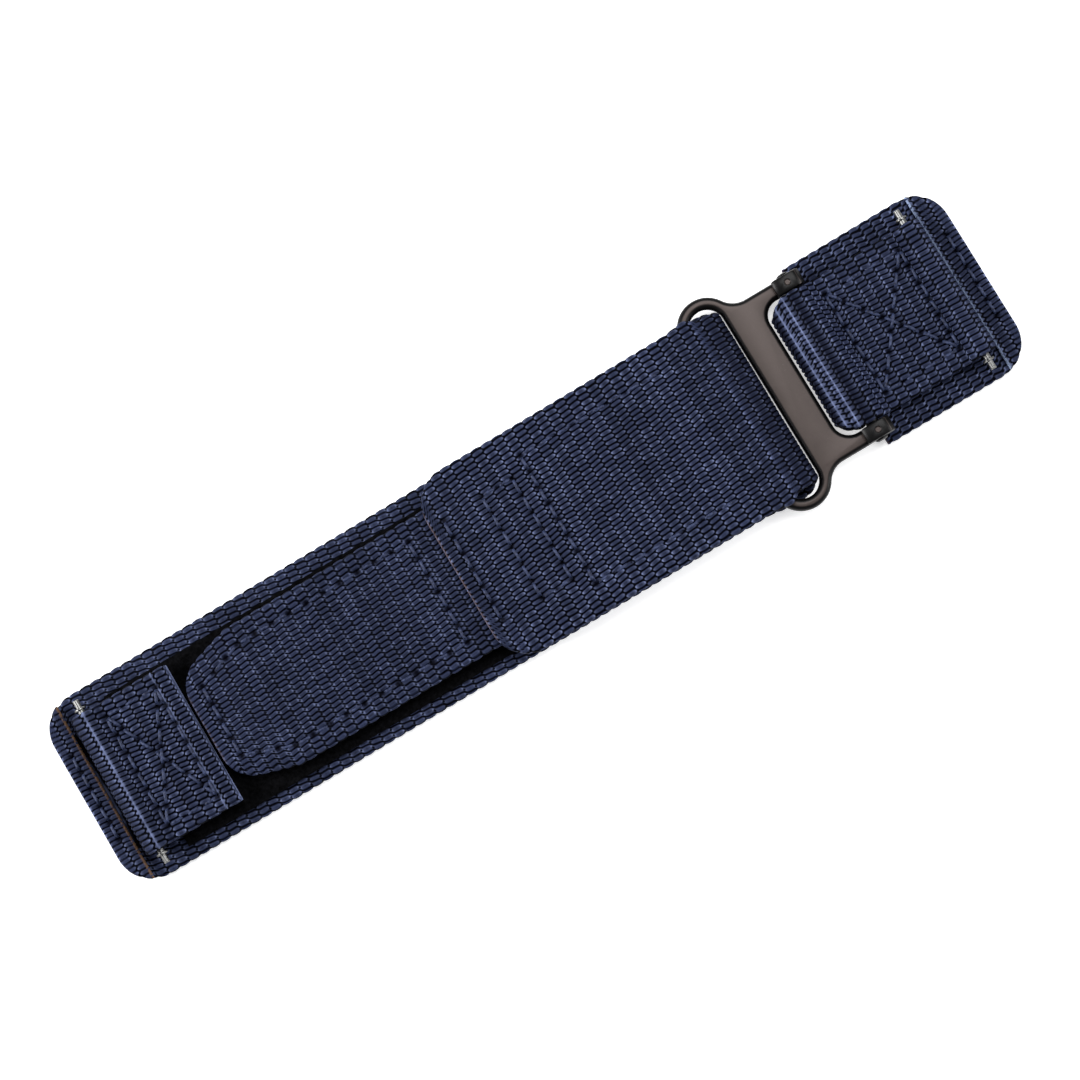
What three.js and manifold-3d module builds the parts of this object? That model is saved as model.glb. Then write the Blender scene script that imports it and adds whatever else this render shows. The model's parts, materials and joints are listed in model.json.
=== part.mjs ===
// A nylon hook-and-loop band for a watch or fitness tracker, with a metal slot buckle and two spring bars.
// Millimetres. +X runs along the band towards its short piece, +Y across it, +Z up.
// X is measured from the band's left end here, and the last lines move the whole band so that the origin
// is under its middle, on the surface that it lies on.
import * as THREE from "three";
import { mergeVertices } from "three/addons/utils/BufferGeometryUtils.js";
import Module from "manifold-3d";

const wasm = await Module();
wasm.setup();

// Webbing and tapes
const BAND_LENGTH = 136.8;
const WEB_HALF = 13.5; // half the wide webbing's width
const PINCH_HALF = 13.0; // the same where it is drawn in to pass through the buckle
const WEB_THICK = 1.2;
const NARROW_THICK = 1.1; // the narrow webbing of the lug loops and the tongue
const LUG_HALF = 10.2;
const SHORT_LOOP_HALF = 9.95;
const TONGUE_HALF = 10.2;
const PILE_HALF = 11.2;
const PILE_SHIFT = -0.6; // the pile tape is sewn a little off the centre line
const PILE_THICK = 0.8;
const HOOK_HALF = 9.6;
const HOOK_THICK = 0.6;
const LAYER_GAP = 0.03; // between fabrics that lie face to face
const THREAD_R = 0.18;

// Where pieces begin and end along X
const LEFT_PATCH_END = 2.9;
const PILE_START = 8.8;
const PILE_END = 94;
const LUG_LOOP_END = 18.2;
const TONGUE_TIP = 18.7;
const TONGUE_HINGE = 56.3;
const TONGUE_ROOT_END = 73;
const TAIL_START = 57.3;
const TAIL_HOOK_START = 74.5;
const TAIL_HOOK_END = 95;
const PINCH_START = 96;
const PINCH_END = 99.5;
const FOLD_EDGE = 104.1;
const PAD_START = 114.5;
const RIGHT_PATCH_START = 133.1;
const CORNER_R = 5;
const LOOP_CORNER_R = 1.8; // where the short piece's loop is drawn in between the buckle's arms

// Heights of the layers
const BASE_TOP = WEB_THICK;
const PILE_Z = BASE_TOP + LAYER_GAP;
const HOOK_Z = PILE_Z + PILE_THICK + LAYER_GAP;
const TONGUE_Z = HOOK_Z + HOOK_THICK + LAYER_GAP;
const TAIL_Z = TONGUE_Z + NARROW_THICK + LAYER_GAP;
const TAIL_TOP = TAIL_Z + WEB_THICK;

// The fold round the buckle's ring bar, and how far each side of it reaches up the turn
const FOLD_OUTER_R = TAIL_TOP / 2;
const FOLD_MID_R = FOLD_OUTER_R - WEB_THICK / 2;
const FOLD_X = FOLD_EDGE - FOLD_OUTER_R;
const FOLD_ARC_END = THREE.MathUtils.degToRad(42);

// Buckle
const PLATE_THICK = 1.7;
const PLATE_BEVEL = 0.4;
const RING_BAR_X = 98.85;
const RING_X = 102.1;
const RING_OUTER_R = 4.0;
const RING_END_Y = 11.78; // where the ring's round ends are centred
const SLOT_R = 2.4;
const WEB_RIGHT = 109.4; // right edge of the bar between the two slots
const ARM_OUTER_Y = 12.4;
const ARM_INNER_Y = 10.2;
const NECK_R = 3.2; // hollow curve from the ring's round end into the arm
const OPEN_SLOT_R = 2.3;
const KNUCKLE_LEFT = 111.9;
const KNUCKLE_RIGHT = 116;
const KNUCKLE_HALF_HEIGHT = 1.25;
const DIMPLE_R = 0.6;
const DIMPLE_DEPTH = 0.15;

// Buckle pin and the short piece's loop on it
const PIN_X = 113.8;
const PIN_R = 0.9;
const PIN_HALF = 12.75;
const PIN_BORE_R = PIN_R + 0.05;
const PIN_LOOP_LEFT_X = 112.5; // the slack end of the loop is centred here
const PIN_LOOP_R = PIN_R + 0.15 + NARROW_THICK / 2; // to the middle of the webbing
const NARROW_MID_Z = BASE_TOP + LAYER_GAP + NARROW_THICK / 2;
const PIN_Z = NARROW_MID_Z + PIN_LOOP_R;

// Spring bars
const LEFT_BAR_X = 5.7;
const RIGHT_BAR_X = 131;
const TUBE_R = 0.75;
const TUBE_BORE_R = 0.56;
const TUBE_HALF = 9.45;
const BAR_LOOP_R = TUBE_R + 0.15 + NARROW_THICK / 2;
const BAR_Z = NARROW_MID_Z + BAR_LOOP_R;
const TIP_SHANK_R = 0.5;
const TIP_INNER_Y = 8;
const FLANGE_INNER_Y = 10.7;
const FLANGE_OUTER_Y = 11;
const FLANGE_R = 0.82;
const STUB_R = 0.42;
const STUB_END_Y = 12.2;
const SPRING_R = 0.4;
const SPRING_WIRE_R = 0.09;
const SPRING_TURNS = 14;
const SPRING_HALF = 7.85;

// Fineness
const ROUND_SIDES = 24;
const ARC_STEPS = 8;

const navy = () => new THREE.MeshStandardMaterial({ color: 0x252b42, roughness: 0.85 });
const black = () => new THREE.MeshStandardMaterial({ color: 0x101013, roughness: 0.95 });
const gunmetal = () => new THREE.MeshStandardMaterial({ color: 0x3b3432, roughness: 0.4, metalness: 0.8 });
const steel = () => new THREE.MeshStandardMaterial({ color: 0xb4b6b8, roughness: 0.3, metalness: 1 });
const thread = () => new THREE.MeshStandardMaterial({ color: 0x1b2038, roughness: 0.8 });

const layout = new THREE.Group();

function add(name, geometry, material) {
  const mesh = new THREE.Mesh(geometry, material);
  mesh.name = name;
  layout.add(mesh);
}

// A closed geometry as a manifold-3d solid.
function solid(geometry) {
  const bare = geometry.index ? geometry.toNonIndexed() : geometry.clone();
  bare.deleteAttribute("normal");
  bare.deleteAttribute("uv");
  const merged = mergeVertices(bare, 1e-4);
  return new wasm.Manifold(
    new wasm.Mesh({
      numProp: 3,
      vertProperties: merged.attributes.position.array,
      triVerts: new Uint32Array(merged.index.array),
    }),
  );
}

function geometryOf(manifold) {
  const mesh = manifold.getMesh();
  const geometry = new THREE.BufferGeometry();
  geometry.setAttribute("position", new THREE.BufferAttribute(new Float32Array(mesh.vertProperties), 3));
  geometry.setIndex(new THREE.BufferAttribute(new Uint32Array(mesh.triVerts), 1));
  geometry.computeVertexNormals();
  return geometry;
}

const unite = (geometries) => geometries.map(solid).reduce((all, next) => all.add(next));

// A plan outline in X and Y, raised from z by a thickness.
function slab(shape, z, thickness, bevel = 0) {
  const geometry = new THREE.ExtrudeGeometry(shape, {
    depth: thickness - 2 * bevel,
    bevelEnabled: bevel > 0,
    bevelSize: bevel,
    bevelThickness: bevel,
    bevelOffset: -bevel,
    bevelSegments: 2,
    curveSegments: ARC_STEPS,
  });
  return geometry.translate(0, 0, z + bevel);
}

// A side outline in X and Z, carried across the band between two values of Y.
function acrossY(shape, lowY, highY) {
  const geometry = new THREE.ExtrudeGeometry(shape, {
    depth: highY - lowY,
    bevelEnabled: false,
    curveSegments: ARC_STEPS,
  });
  return geometry.rotateX(Math.PI / 2).translate(0, highY, 0);
}

// The side outline of a strip whose middle line is a path in X and Z.
function stripOutline(path, thickness) {
  const line = path.getPoints(ARC_STEPS).filter((p, i, all) => i === 0 || p.distanceTo(all[i - 1]) > 1e-6);
  const side = (sign) =>
    line.map((p, i) => {
      const before = line[Math.max(i - 1, 0)];
      const after = line[Math.min(i + 1, line.length - 1)];
      const along = after.clone().sub(before).normalize();
      const bend = i > 0 && i < line.length - 1 ? after.clone().sub(p).normalize().dot(along) : 1;
      const reach = (sign * thickness) / 2 / bend;
      return new THREE.Vector2(p.x - along.y * reach, p.y + along.x * reach);
    });
  return new THREE.Shape([...side(-1), ...side(1).reverse()]);
}

// A rod along Y about a point in X and Z, turned from [distance along Y, radius] steps.
function turnedAlongY(steps, x, z) {
  const profile = steps.map(([y, r]) => new THREE.Vector2(r, y));
  return new THREE.LatheGeometry(profile, ROUND_SIDES).translate(x, 0, z);
}

// Plan outline of a flat strip with rounded corners at its left end.
function roundedLeft(left, right, half, r) {
  const shape = new THREE.Shape();
  shape.moveTo(right, -half);
  shape.lineTo(right, half);
  shape.lineTo(left + r, half);
  shape.absarc(left + r, half - r, r, Math.PI / 2, Math.PI, false);
  shape.absarc(left + r, -half + r, r, Math.PI, Math.PI * 1.5, false);
  return shape;
}

// Plan outline of a flat strip with rounded corners at its right end.
function roundedRight(left, right, half, r) {
  const shape = new THREE.Shape();
  shape.moveTo(left, half);
  shape.lineTo(left, -half);
  shape.lineTo(right - r, -half);
  shape.absarc(right - r, -half + r, r, -Math.PI / 2, 0, false);
  shape.absarc(right - r, half - r, r, 0, Math.PI / 2, false);
  return shape;
}

function rectangle(left, right, lowY, highY) {
  const shape = new THREE.Shape();
  shape.moveTo(left, lowY);
  shape.lineTo(right, lowY);
  shape.lineTo(right, highY);
  shape.lineTo(left, highY);
  return shape;
}

// The wide strip's plan: rounded at its left end and drawn in where it passes through the buckle.
function wideStripPlan(left) {
  const shape = new THREE.Shape();
  const right = FOLD_EDGE + 1;
  shape.moveTo(PINCH_START, -WEB_HALF);
  shape.lineTo(PINCH_END, -PINCH_HALF);
  shape.lineTo(right, -PINCH_HALF);
  shape.lineTo(right, PINCH_HALF);
  shape.lineTo(PINCH_END, PINCH_HALF);
  shape.lineTo(PINCH_START, WEB_HALF);
  shape.lineTo(left + CORNER_R, WEB_HALF);
  shape.absarc(left + CORNER_R, WEB_HALF - CORNER_R, CORNER_R, Math.PI / 2, Math.PI, false);
  shape.absarc(left + CORNER_R, -WEB_HALF + CORNER_R, CORNER_R, Math.PI, Math.PI * 1.5, false);
  return shape;
}

// One side of the wide strip: flat from its left end to the fold, then part of the way round it.
function wideStrip(left, midZ, arcFrom, arcTo, clockwise) {
  const path = new THREE.Path();
  path.moveTo(left, midZ);
  path.lineTo(FOLD_X, midZ);
  path.absarc(FOLD_X, FOLD_OUTER_R, FOLD_MID_R, arcFrom, arcTo, clockwise);
  const side = solid(acrossY(stripOutline(path, WEB_THICK), -WEB_HALF, WEB_HALF));
  const plan = solid(slab(wideStripPlan(left), -1, TAIL_TOP + 2));
  return geometryOf(side.intersect(plan));
}

function wideWebbing() {
  const quarter = Math.PI / 2;
  add("base_webbing", wideStrip(0, WEB_THICK / 2, -quarter, -FOLD_ARC_END, false), navy());
  add("tail_webbing", wideStrip(TAIL_START, TAIL_Z + WEB_THICK / 2, quarter, FOLD_ARC_END, true), navy());
  const patch = solid(slab(roundedLeft(0, LEFT_PATCH_END + CORNER_R, WEB_HALF, CORNER_R), PILE_Z, NARROW_THICK));
  const kept = solid(slab(rectangle(-1, LEFT_PATCH_END, -WEB_HALF - 1, WEB_HALF + 1), 0, TAIL_TOP));
  add("left_end_patch", geometryOf(patch.intersect(kept)), navy());
}

// Loop tape on the base and hook tape under the tail.
function fastenerTapes() {
  const pile = rectangle(PILE_START, PILE_END, PILE_SHIFT - PILE_HALF, PILE_SHIFT + PILE_HALF);
  add("loop_pile_patch", slab(pile, PILE_Z, PILE_THICK), black());
  const tail = rectangle(TAIL_HOOK_START, TAIL_HOOK_END, -LUG_HALF, LUG_HALF);
  add("tail_hook_patch", slab(tail, TAIL_Z - LAYER_GAP - HOOK_THICK, HOOK_THICK), black());
}

// Plan of the tongue: a blunt tip, two slanted shoulders, then parallel sides.
function tonguePlan(tip, right, half) {
  const tipHalf = half * 0.56;
  const cornerX = tip + 1.5;
  const cornerHalf = half * 0.72;
  const shoulderX = tip + 8.5;
  const shape = new THREE.Shape();
  shape.moveTo(right, -half);
  shape.lineTo(right, half);
  shape.lineTo(shoulderX, half);
  shape.lineTo(cornerX, cornerHalf);
  shape.quadraticCurveTo(tip, cornerHalf - 0.5, tip, tipHalf);
  shape.lineTo(tip, -tipHalf);
  shape.quadraticCurveTo(tip, -cornerHalf + 0.5, cornerX, -cornerHalf);
  shape.lineTo(shoulderX, -half);
  return shape;
}

function tongue() {
  const free = TONGUE_HINGE - 0.1;
  const root = TONGUE_HINGE + 0.2;
  const hookTip = TONGUE_TIP + TONGUE_HALF - HOOK_HALF;
  add("tongue_webbing", slab(tonguePlan(TONGUE_TIP, free, TONGUE_HALF), TONGUE_Z, NARROW_THICK), navy());
  add("tongue_hook_patch", slab(tonguePlan(hookTip, free, HOOK_HALF), HOOK_Z, HOOK_THICK), black());
  const rootPlan = rectangle(root, TONGUE_ROOT_END, -TONGUE_HALF, TONGUE_HALF);
  add("tongue_root_webbing", slab(rootPlan, TONGUE_Z, NARROW_THICK), navy());
  const rootHook = rectangle(root, TONGUE_ROOT_END, -HOOK_HALF, HOOK_HALF);
  add("tongue_root_hook_patch", slab(rootHook, HOOK_Z, HOOK_THICK), black());
}

// The doubled narrow webbing that holds the left spring bar: it lies on the base, steps up onto the pile tape,
// and turns round the bar.
function leftLugLoop() {
  const lowZ = HOOK_Z + NARROW_THICK / 2;
  const highZ = lowZ + NARROW_THICK + LAYER_GAP;
  const leave = Math.PI / 3; // where the top layer leaves the turn
  const leaveX = LEFT_BAR_X + BAR_LOOP_R * Math.cos(leave);
  const leaveZ = BAR_Z + BAR_LOOP_R * Math.sin(leave);
  const path = new THREE.Path();
  path.moveTo(LUG_LOOP_END, lowZ);
  path.lineTo(PILE_START - 0.3, lowZ);
  path.bezierCurveTo(PILE_START - 1.1, lowZ, PILE_START - 1.2, NARROW_MID_Z, LEFT_BAR_X + 1.2, NARROW_MID_Z);
  path.lineTo(LEFT_BAR_X, NARROW_MID_Z);
  path.absarc(LEFT_BAR_X, BAR_Z, BAR_LOOP_R, -Math.PI / 2, leave, true);
  path.bezierCurveTo(leaveX + 0.4, leaveZ - 0.23, leaveX + 0.9, highZ, leaveX + 1.6, highZ);
  path.lineTo(LUG_LOOP_END, highZ);
  add("left_lug_loop", acrossY(stripOutline(path, NARROW_THICK), -LUG_HALF, LUG_HALF), navy());
}

function buckleOutline() {
  // The hollow neck is an arc that touches the ring's round end and runs level into the arm.
  const neckY = ARM_OUTER_Y + NECK_R;
  const neckX = RING_X + Math.sqrt((RING_OUTER_R + NECK_R) ** 2 - (neckY - RING_END_Y) ** 2);
  const touch = Math.atan2(neckY - RING_END_Y, neckX - RING_X);
  const ringLeft = RING_BAR_X - PLATE_THICK / 2;
  const openHalf = ARM_INNER_Y - OPEN_SLOT_R;
  const shape = new THREE.Shape();
  shape.moveTo(PIN_X, ARM_OUTER_Y);
  shape.lineTo(neckX, ARM_OUTER_Y);
  shape.absarc(neckX, neckY, NECK_R, -Math.PI / 2, touch - Math.PI, true);
  shape.absarc(RING_X, RING_END_Y, RING_OUTER_R, touch, Math.PI, false);
  shape.lineTo(ringLeft, 0);
  shape.absarc(RING_X, -RING_END_Y, RING_OUTER_R, Math.PI, 2 * Math.PI - touch, false);
  shape.absarc(neckX, -neckY, NECK_R, Math.PI - touch, Math.PI / 2, true);
  shape.lineTo(PIN_X, -ARM_OUTER_Y);
  shape.lineTo(PIN_X, -ARM_INNER_Y);
  shape.lineTo(WEB_RIGHT + OPEN_SLOT_R, -ARM_INNER_Y);
  shape.absarc(WEB_RIGHT + OPEN_SLOT_R, -openHalf, OPEN_SLOT_R, -Math.PI / 2, Math.PI, true);
  shape.absarc(WEB_RIGHT + OPEN_SLOT_R, openHalf, OPEN_SLOT_R, Math.PI, Math.PI / 2, true);
  shape.lineTo(PIN_X, ARM_INNER_Y);
  const slot = new THREE.Path();
  slot.absarc(RING_X, RING_END_Y, SLOT_R, 0, Math.PI, false);
  slot.absarc(RING_X, -RING_END_Y, SLOT_R, Math.PI, 2 * Math.PI, false);
  shape.holes.push(slot);
  return shape;
}

// The raised end of an arm, round at its right end, which holds the pin.
function knuckle(lowY, highY) {
  const r = KNUCKLE_HALF_HEIGHT;
  const shape = new THREE.Shape();
  shape.moveTo(KNUCKLE_LEFT, PIN_Z - r);
  shape.lineTo(KNUCKLE_RIGHT - r, PIN_Z - r);
  shape.absarc(KNUCKLE_RIGHT - r, PIN_Z, r, -Math.PI / 2, Math.PI / 2, false);
  shape.lineTo(KNUCKLE_LEFT + r / 3, PIN_Z + r);
  shape.lineTo(KNUCKLE_LEFT, PIN_Z + r * 0.75);
  return acrossY(shape, lowY, highY);
}

function buckle() {
  const plate = slab(buckleOutline(), FOLD_OUTER_R - PLATE_THICK / 2, PLATE_THICK, PLATE_BEVEL);
  const upper = knuckle(ARM_INNER_Y, ARM_OUTER_Y);
  const lower = knuckle(-ARM_OUTER_Y, -ARM_INNER_Y);
  const bore = turnedAlongY([[-20, 0], [-20, PIN_BORE_R], [20, PIN_BORE_R], [20, 0]], PIN_X, PIN_Z);
  let frame = unite([plate, upper, lower]).subtract(solid(bore));
  const armMiddle = (ARM_INNER_Y + ARM_OUTER_Y) / 2;
  for (const y of [-armMiddle, armMiddle]) {
    const dimple = new THREE.CylinderGeometry(DIMPLE_R, DIMPLE_R / 2, DIMPLE_DEPTH * 2, 12);
    dimple.rotateX(Math.PI / 2).translate(PIN_X, y, PIN_Z + KNUCKLE_HALF_HEIGHT);
    frame = frame.subtract(solid(dimple));
  }
  add("buckle_frame", geometryOf(frame), gunmetal());
  const pin = turnedAlongY([[-PIN_HALF, 0], [-PIN_HALF, PIN_R], [PIN_HALF, PIN_R], [PIN_HALF, 0]], PIN_X, PIN_Z);
  add("buckle_pin", pin, gunmetal());
}

// The short piece: a pad of wide webbing, and narrow webbing that turns round the buckle pin at one end and
// the right spring bar at the other. The narrow strip's two ends meet underneath.
function shortPiece() {
  add("short_pad_webbing", slab(roundedRight(PAD_START, BAND_LENGTH, WEB_HALF, CORNER_R), 0, WEB_THICK), navy());
  const highZ = NARROW_MID_Z + NARROW_THICK + LAYER_GAP;
  const meet = (PIN_X + RIGHT_BAR_X) / 2;
  const leave = THREE.MathUtils.degToRad(50);
  const leaveX = PIN_X + PIN_LOOP_R * Math.cos(leave);
  const leaveZ = PIN_Z + PIN_LOOP_R * Math.sin(leave);
  const join = THREE.MathUtils.degToRad(120);
  const joinX = RIGHT_BAR_X + BAR_LOOP_R * Math.cos(join);
  const joinZ = BAR_Z + BAR_LOOP_R * Math.sin(join);
  const path = new THREE.Path();
  path.moveTo(meet - 0.2, NARROW_MID_Z);
  path.lineTo(PIN_LOOP_LEFT_X, NARROW_MID_Z);
  path.absarc(PIN_LOOP_LEFT_X, PIN_Z, PIN_LOOP_R, -Math.PI / 2, Math.PI / 2, true);
  path.lineTo(PIN_X, PIN_Z + PIN_LOOP_R);
  path.absarc(PIN_X, PIN_Z, PIN_LOOP_R, Math.PI / 2, leave, true);
  path.bezierCurveTo(leaveX + 0.6, leaveZ - 0.5, leaveX + 1.2, highZ, leaveX + 2.2, highZ);
  path.lineTo(joinX - 1.6, highZ);
  path.bezierCurveTo(joinX - 0.9, highZ, joinX - 0.5, joinZ - 0.29, joinX, joinZ);
  path.absarc(RIGHT_BAR_X, BAR_Z, BAR_LOOP_R, join, -Math.PI / 2, true);
  path.lineTo(meet + 0.2, NARROW_MID_Z);
  const loop = solid(acrossY(stripOutline(path, NARROW_THICK), -SHORT_LOOP_HALF, SHORT_LOOP_HALF));
  const loopLeft = PIN_LOOP_LEFT_X - PIN_LOOP_R - NARROW_THICK / 2;
  const loopPlan = roundedLeft(loopLeft - 0.01, BAND_LENGTH, SHORT_LOOP_HALF + 0.01, LOOP_CORNER_R);
  add("short_loop_webbing", geometryOf(loop.intersect(solid(slab(loopPlan, 0, 2 * PIN_Z)))), navy());
  const patch = solid(slab(roundedRight(PAD_START, BAND_LENGTH, WEB_HALF, CORNER_R), PILE_Z, NARROW_THICK));
  const kept = solid(slab(rectangle(RIGHT_PATCH_START, BAND_LENGTH + 1, -WEB_HALF - 1, WEB_HALF + 1), 0, TAIL_TOP));
  add("right_end_patch", geometryOf(patch.intersect(kept)), navy());
}

class Helix extends THREE.Curve {
  getPoint(t) {
    const turn = t * SPRING_TURNS * 2 * Math.PI;
    return new THREE.Vector3(SPRING_R * Math.cos(turn), (2 * t - 1) * SPRING_HALF, SPRING_R * Math.sin(turn));
  }
}

// A tube with a sprung, flanged tip sliding in each end.
function springBar(side, x) {
  const tube = turnedAlongY(
    [[-TUBE_HALF, TUBE_BORE_R], [-TUBE_HALF, TUBE_R], [TUBE_HALF, TUBE_R], [TUBE_HALF, TUBE_BORE_R],
      [-TUBE_HALF, TUBE_BORE_R]], x, BAR_Z);
  add(`${side}_spring_bar_tube`, tube, steel());
  const wire = new THREE.Shape();
  wire.absarc(0, 0, SPRING_WIRE_R, 0, 2 * Math.PI, false);
  const coil = new THREE.ExtrudeGeometry(wire, {
    extrudePath: new Helix(),
    steps: SPRING_TURNS * 8,
    curveSegments: 3,
    bevelEnabled: false,
  });
  add(`${side}_spring_bar_spring`, coil.translate(x, 0, BAR_Z), steel());
  const steps = [[TIP_INNER_Y, 0], [TIP_INNER_Y, TIP_SHANK_R], [FLANGE_INNER_Y, TIP_SHANK_R],
    [FLANGE_INNER_Y, FLANGE_R], [FLANGE_OUTER_Y, FLANGE_R], [FLANGE_OUTER_Y, STUB_R],
    [STUB_END_Y, STUB_R], [STUB_END_Y, 0]];
  add(`${side}_spring_bar_tip_rear`, turnedAlongY(steps, x, BAR_Z), steel());
  const mirrored = steps.map(([y, r]) => [-y, r]).reverse();
  add(`${side}_spring_bar_tip_front`, turnedAlongY(mirrored, x, BAR_Z), steel());
}

// The visible thread of one seam, lying on the surface below it: straight runs between corners in X and Y.
function seam(name, surfaceZ, runs) {
  const z = surfaceZ + LAYER_GAP + THREAD_R;
  const pieces = [];
  for (const [x1, y1, x2, y2] of runs) {
    const length = Math.hypot(x2 - x1, y2 - y1) + 2 * THREAD_R;
    const run = new THREE.CylinderGeometry(THREAD_R, THREAD_R, length, 8);
    run.rotateZ(Math.atan2(y2 - y1, x2 - x1) - Math.PI / 2);
    pieces.push(run.translate((x1 + x2) / 2, (y1 + y2) / 2, z));
  }
  add(name, geometryOf(unite(pieces)), thread());
}

const crossRow = (x, half) => [[x, -half, x, half]];

function box(left, right, half) {
  return [
    [left, -half, left, half],
    [right, -half, right, half],
    [left, -half, right, -half],
    [left, half, right, half],
  ];
}

function boxWithCross(left, right, half) {
  return [...box(left, right, half), [left, -half, right, half], [left, half, right, -half]];
}

function stitching() {
  const lugTop = HOOK_Z + 2 * NARROW_THICK + LAYER_GAP;
  const shortTop = BASE_TOP + 2 * (NARROW_THICK + LAYER_GAP);
  const patchTop = PILE_Z + NARROW_THICK;
  const tongueTop = TONGUE_Z + NARROW_THICK;
  seam("left_end_stitching", patchTop, crossRow(1.45, 6.3));
  seam("left_lug_stitching", lugTop, boxWithCross(8.4, 15.8, 8.15));
  seam("tongue_edge_stitching", tongueTop, [
    [21.1, -5.2, 21.1, 5.2],
    [21.1, 5.2, 27.9, 7.6],
    [21.1, -5.2, 27.9, -7.6],
    [27.9, 7.6, 53.9, 7.6],
    [27.9, -7.6, 53.9, -7.6],
    [53.9, -7.6, 53.9, 7.6],
  ]);
  seam("tail_end_stitching", TAIL_TOP, crossRow(59.3, 7.5));
  seam("tail_box_stitching", TAIL_TOP, box(65.2, 69.8, 7.7));
  seam("tail_edge_stitching", TAIL_TOP, [
    [72.2, -9.7, 72.2, 9.7],
    [72.2, 9.7, 93.4, 9.7],
    [72.2, -9.7, 93.4, -9.7],
  ]);
  seam("short_piece_stitching", shortTop, boxWithCross(117.4, 128.6, 7.5));
  seam("right_end_stitching", patchTop, crossRow(135.2, 6.3));
}

wideWebbing();
fastenerTapes();
tongue();
leftLugLoop();
buckle();
shortPiece();
springBar("left", LEFT_BAR_X);
springBar("right", RIGHT_BAR_X);
stitching();

layout.position.x = -BAND_LENGTH / 2;
const band = new THREE.Group();
band.add(layout);

export default band;
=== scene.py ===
"""Looks of the hook-and-loop tracker band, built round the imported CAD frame.

Lengths are in millimetres until a mesh is made, and positions come from the frame. A strip of webbing has
its own coordinates: s along it from its first end, and w across it from its middle line.
"""
import json
import math

import bmesh
import bpy
import numpy as np
from mathutils import Matrix, Vector


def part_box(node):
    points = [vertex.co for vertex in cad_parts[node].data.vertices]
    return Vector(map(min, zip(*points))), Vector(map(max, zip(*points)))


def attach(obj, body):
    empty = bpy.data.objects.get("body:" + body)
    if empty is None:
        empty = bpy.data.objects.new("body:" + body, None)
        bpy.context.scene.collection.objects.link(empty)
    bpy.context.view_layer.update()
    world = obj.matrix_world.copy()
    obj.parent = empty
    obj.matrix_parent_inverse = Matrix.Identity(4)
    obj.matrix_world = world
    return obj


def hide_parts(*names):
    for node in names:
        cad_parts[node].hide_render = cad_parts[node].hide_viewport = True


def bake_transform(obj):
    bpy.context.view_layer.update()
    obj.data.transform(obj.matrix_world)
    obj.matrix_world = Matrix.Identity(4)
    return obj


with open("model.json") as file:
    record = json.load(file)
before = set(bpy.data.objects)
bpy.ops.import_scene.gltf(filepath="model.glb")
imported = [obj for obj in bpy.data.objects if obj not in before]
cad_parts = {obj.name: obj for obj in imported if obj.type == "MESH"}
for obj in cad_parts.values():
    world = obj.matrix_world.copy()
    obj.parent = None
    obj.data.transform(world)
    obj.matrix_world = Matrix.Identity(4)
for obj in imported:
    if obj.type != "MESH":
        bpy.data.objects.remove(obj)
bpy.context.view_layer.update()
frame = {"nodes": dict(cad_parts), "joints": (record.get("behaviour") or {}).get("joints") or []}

MM = 1000.0

# Weave
COLUMN = 1.57  # from one row of floats to the next, along the webbing
FLOAT = 0.68  # from float to float, across the middle of the webbing
EDGE_FLOAT = 0.76  # the same near the selvedges
EDGE_BAND = 3.2  # how far in from a selvedge the wider floats reach
FLOAT_REACH = 0.57  # half a float's length, in columns
FLOAT_FULL = 0.62  # share of a float that has its full width
WANDER = 0.045  # how far a float strays from its place, in mm
LEAN = 0.035  # how far a float's ends are off its middle line
RELIEF = 0.3  # from the crest of a float to the bottom of a gap
ALONG_STEPS = (0, 0.06, 0.18, 0.38, 0.62, 0.82, 0.94)  # points on a column where the mesh has rows
ALONG_STEPS_PLAIN = (0, 0.2, 0.5, 0.8)
ACROSS_STEPS = (0, 0.17, 0.34, 0.5, 0.66, 0.83)  # points on a float where the mesh has lines
ACROSS_STEPS_PLAIN = (0,)
BACK_SHIFT = 0.3  # the weave of the back, against that of the face
CREST_DROP = 0.075  # how far the highest floats stay under the CAD's surface
COLUMN_LIFT = 0.05  # how much higher some rows of floats stand

# Selvedges and cut ends
SELVEDGE_R = 0.5
BEAD = 0.16  # how far the selvedge is drawn in between columns
SELVEDGE_OUT = 0.1  # how far its beads stand out past the nominal width
BEAD_BAND = 0.8  # how far in from the edge the beads reach
END_R = 0.3
END_THICK = 0.45  # share of the thickness left at a heat-cut end
MELT = 0.25  # the weave is fused flat this close to a cut end
SCORCH_AND_GLINT_REACH = 0.3  # how far in from a cut end its colour is changed

# Strips of webbing
CORNER = 5.0  # radius of the wide webbing's round corners
TIP_SHARE = 0.74  # the tongue's width at its blunt tip, as a share of its full width
TIP_CORNER = 3.2
SHOULDER = 8.5  # how far from its tip the tongue has its full width
SEAM_TIP_SHARE = 0.68  # the same two for the tongue's edge seam
SEAM_SHOULDER = 6.8
CREASE_WIDTH = 0.17
CREASE_HEIGHT = 0.2
SHADE_FADE = 0.8  # how far in from its ends a shaded stretch reaches its full darkness

# Loops: the angles are from the band's +X towards up, in degrees
LEAVE_BAR = 60  # where the left loop's upper layer leaves its bar
LEAVE_PIN = 50  # where the short loop's upper layer leaves the pin
JOIN_BAR = 120  # and where it meets the right bar
ENDS_GAP = 0.4  # between the short loop's two ends, underneath

# The long strap in the buckle's ring
FOLD_OUT = 0.26  # how much further than the CAD's fold the cloth bulges
SPREAD = 0.45  # how much wider the cloth is squeezed inside the ring, at each side
SPREAD_FROM = 5.5
SPREAD_LENGTH = 3.0
PINCH = 0.6  # how far the cloth that swings through the ring's slot is drawn in, at each side
NARROWING = 1.2
ROOM = 0.3  # what stays clear between the cloth and the round ends of the ring

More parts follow.
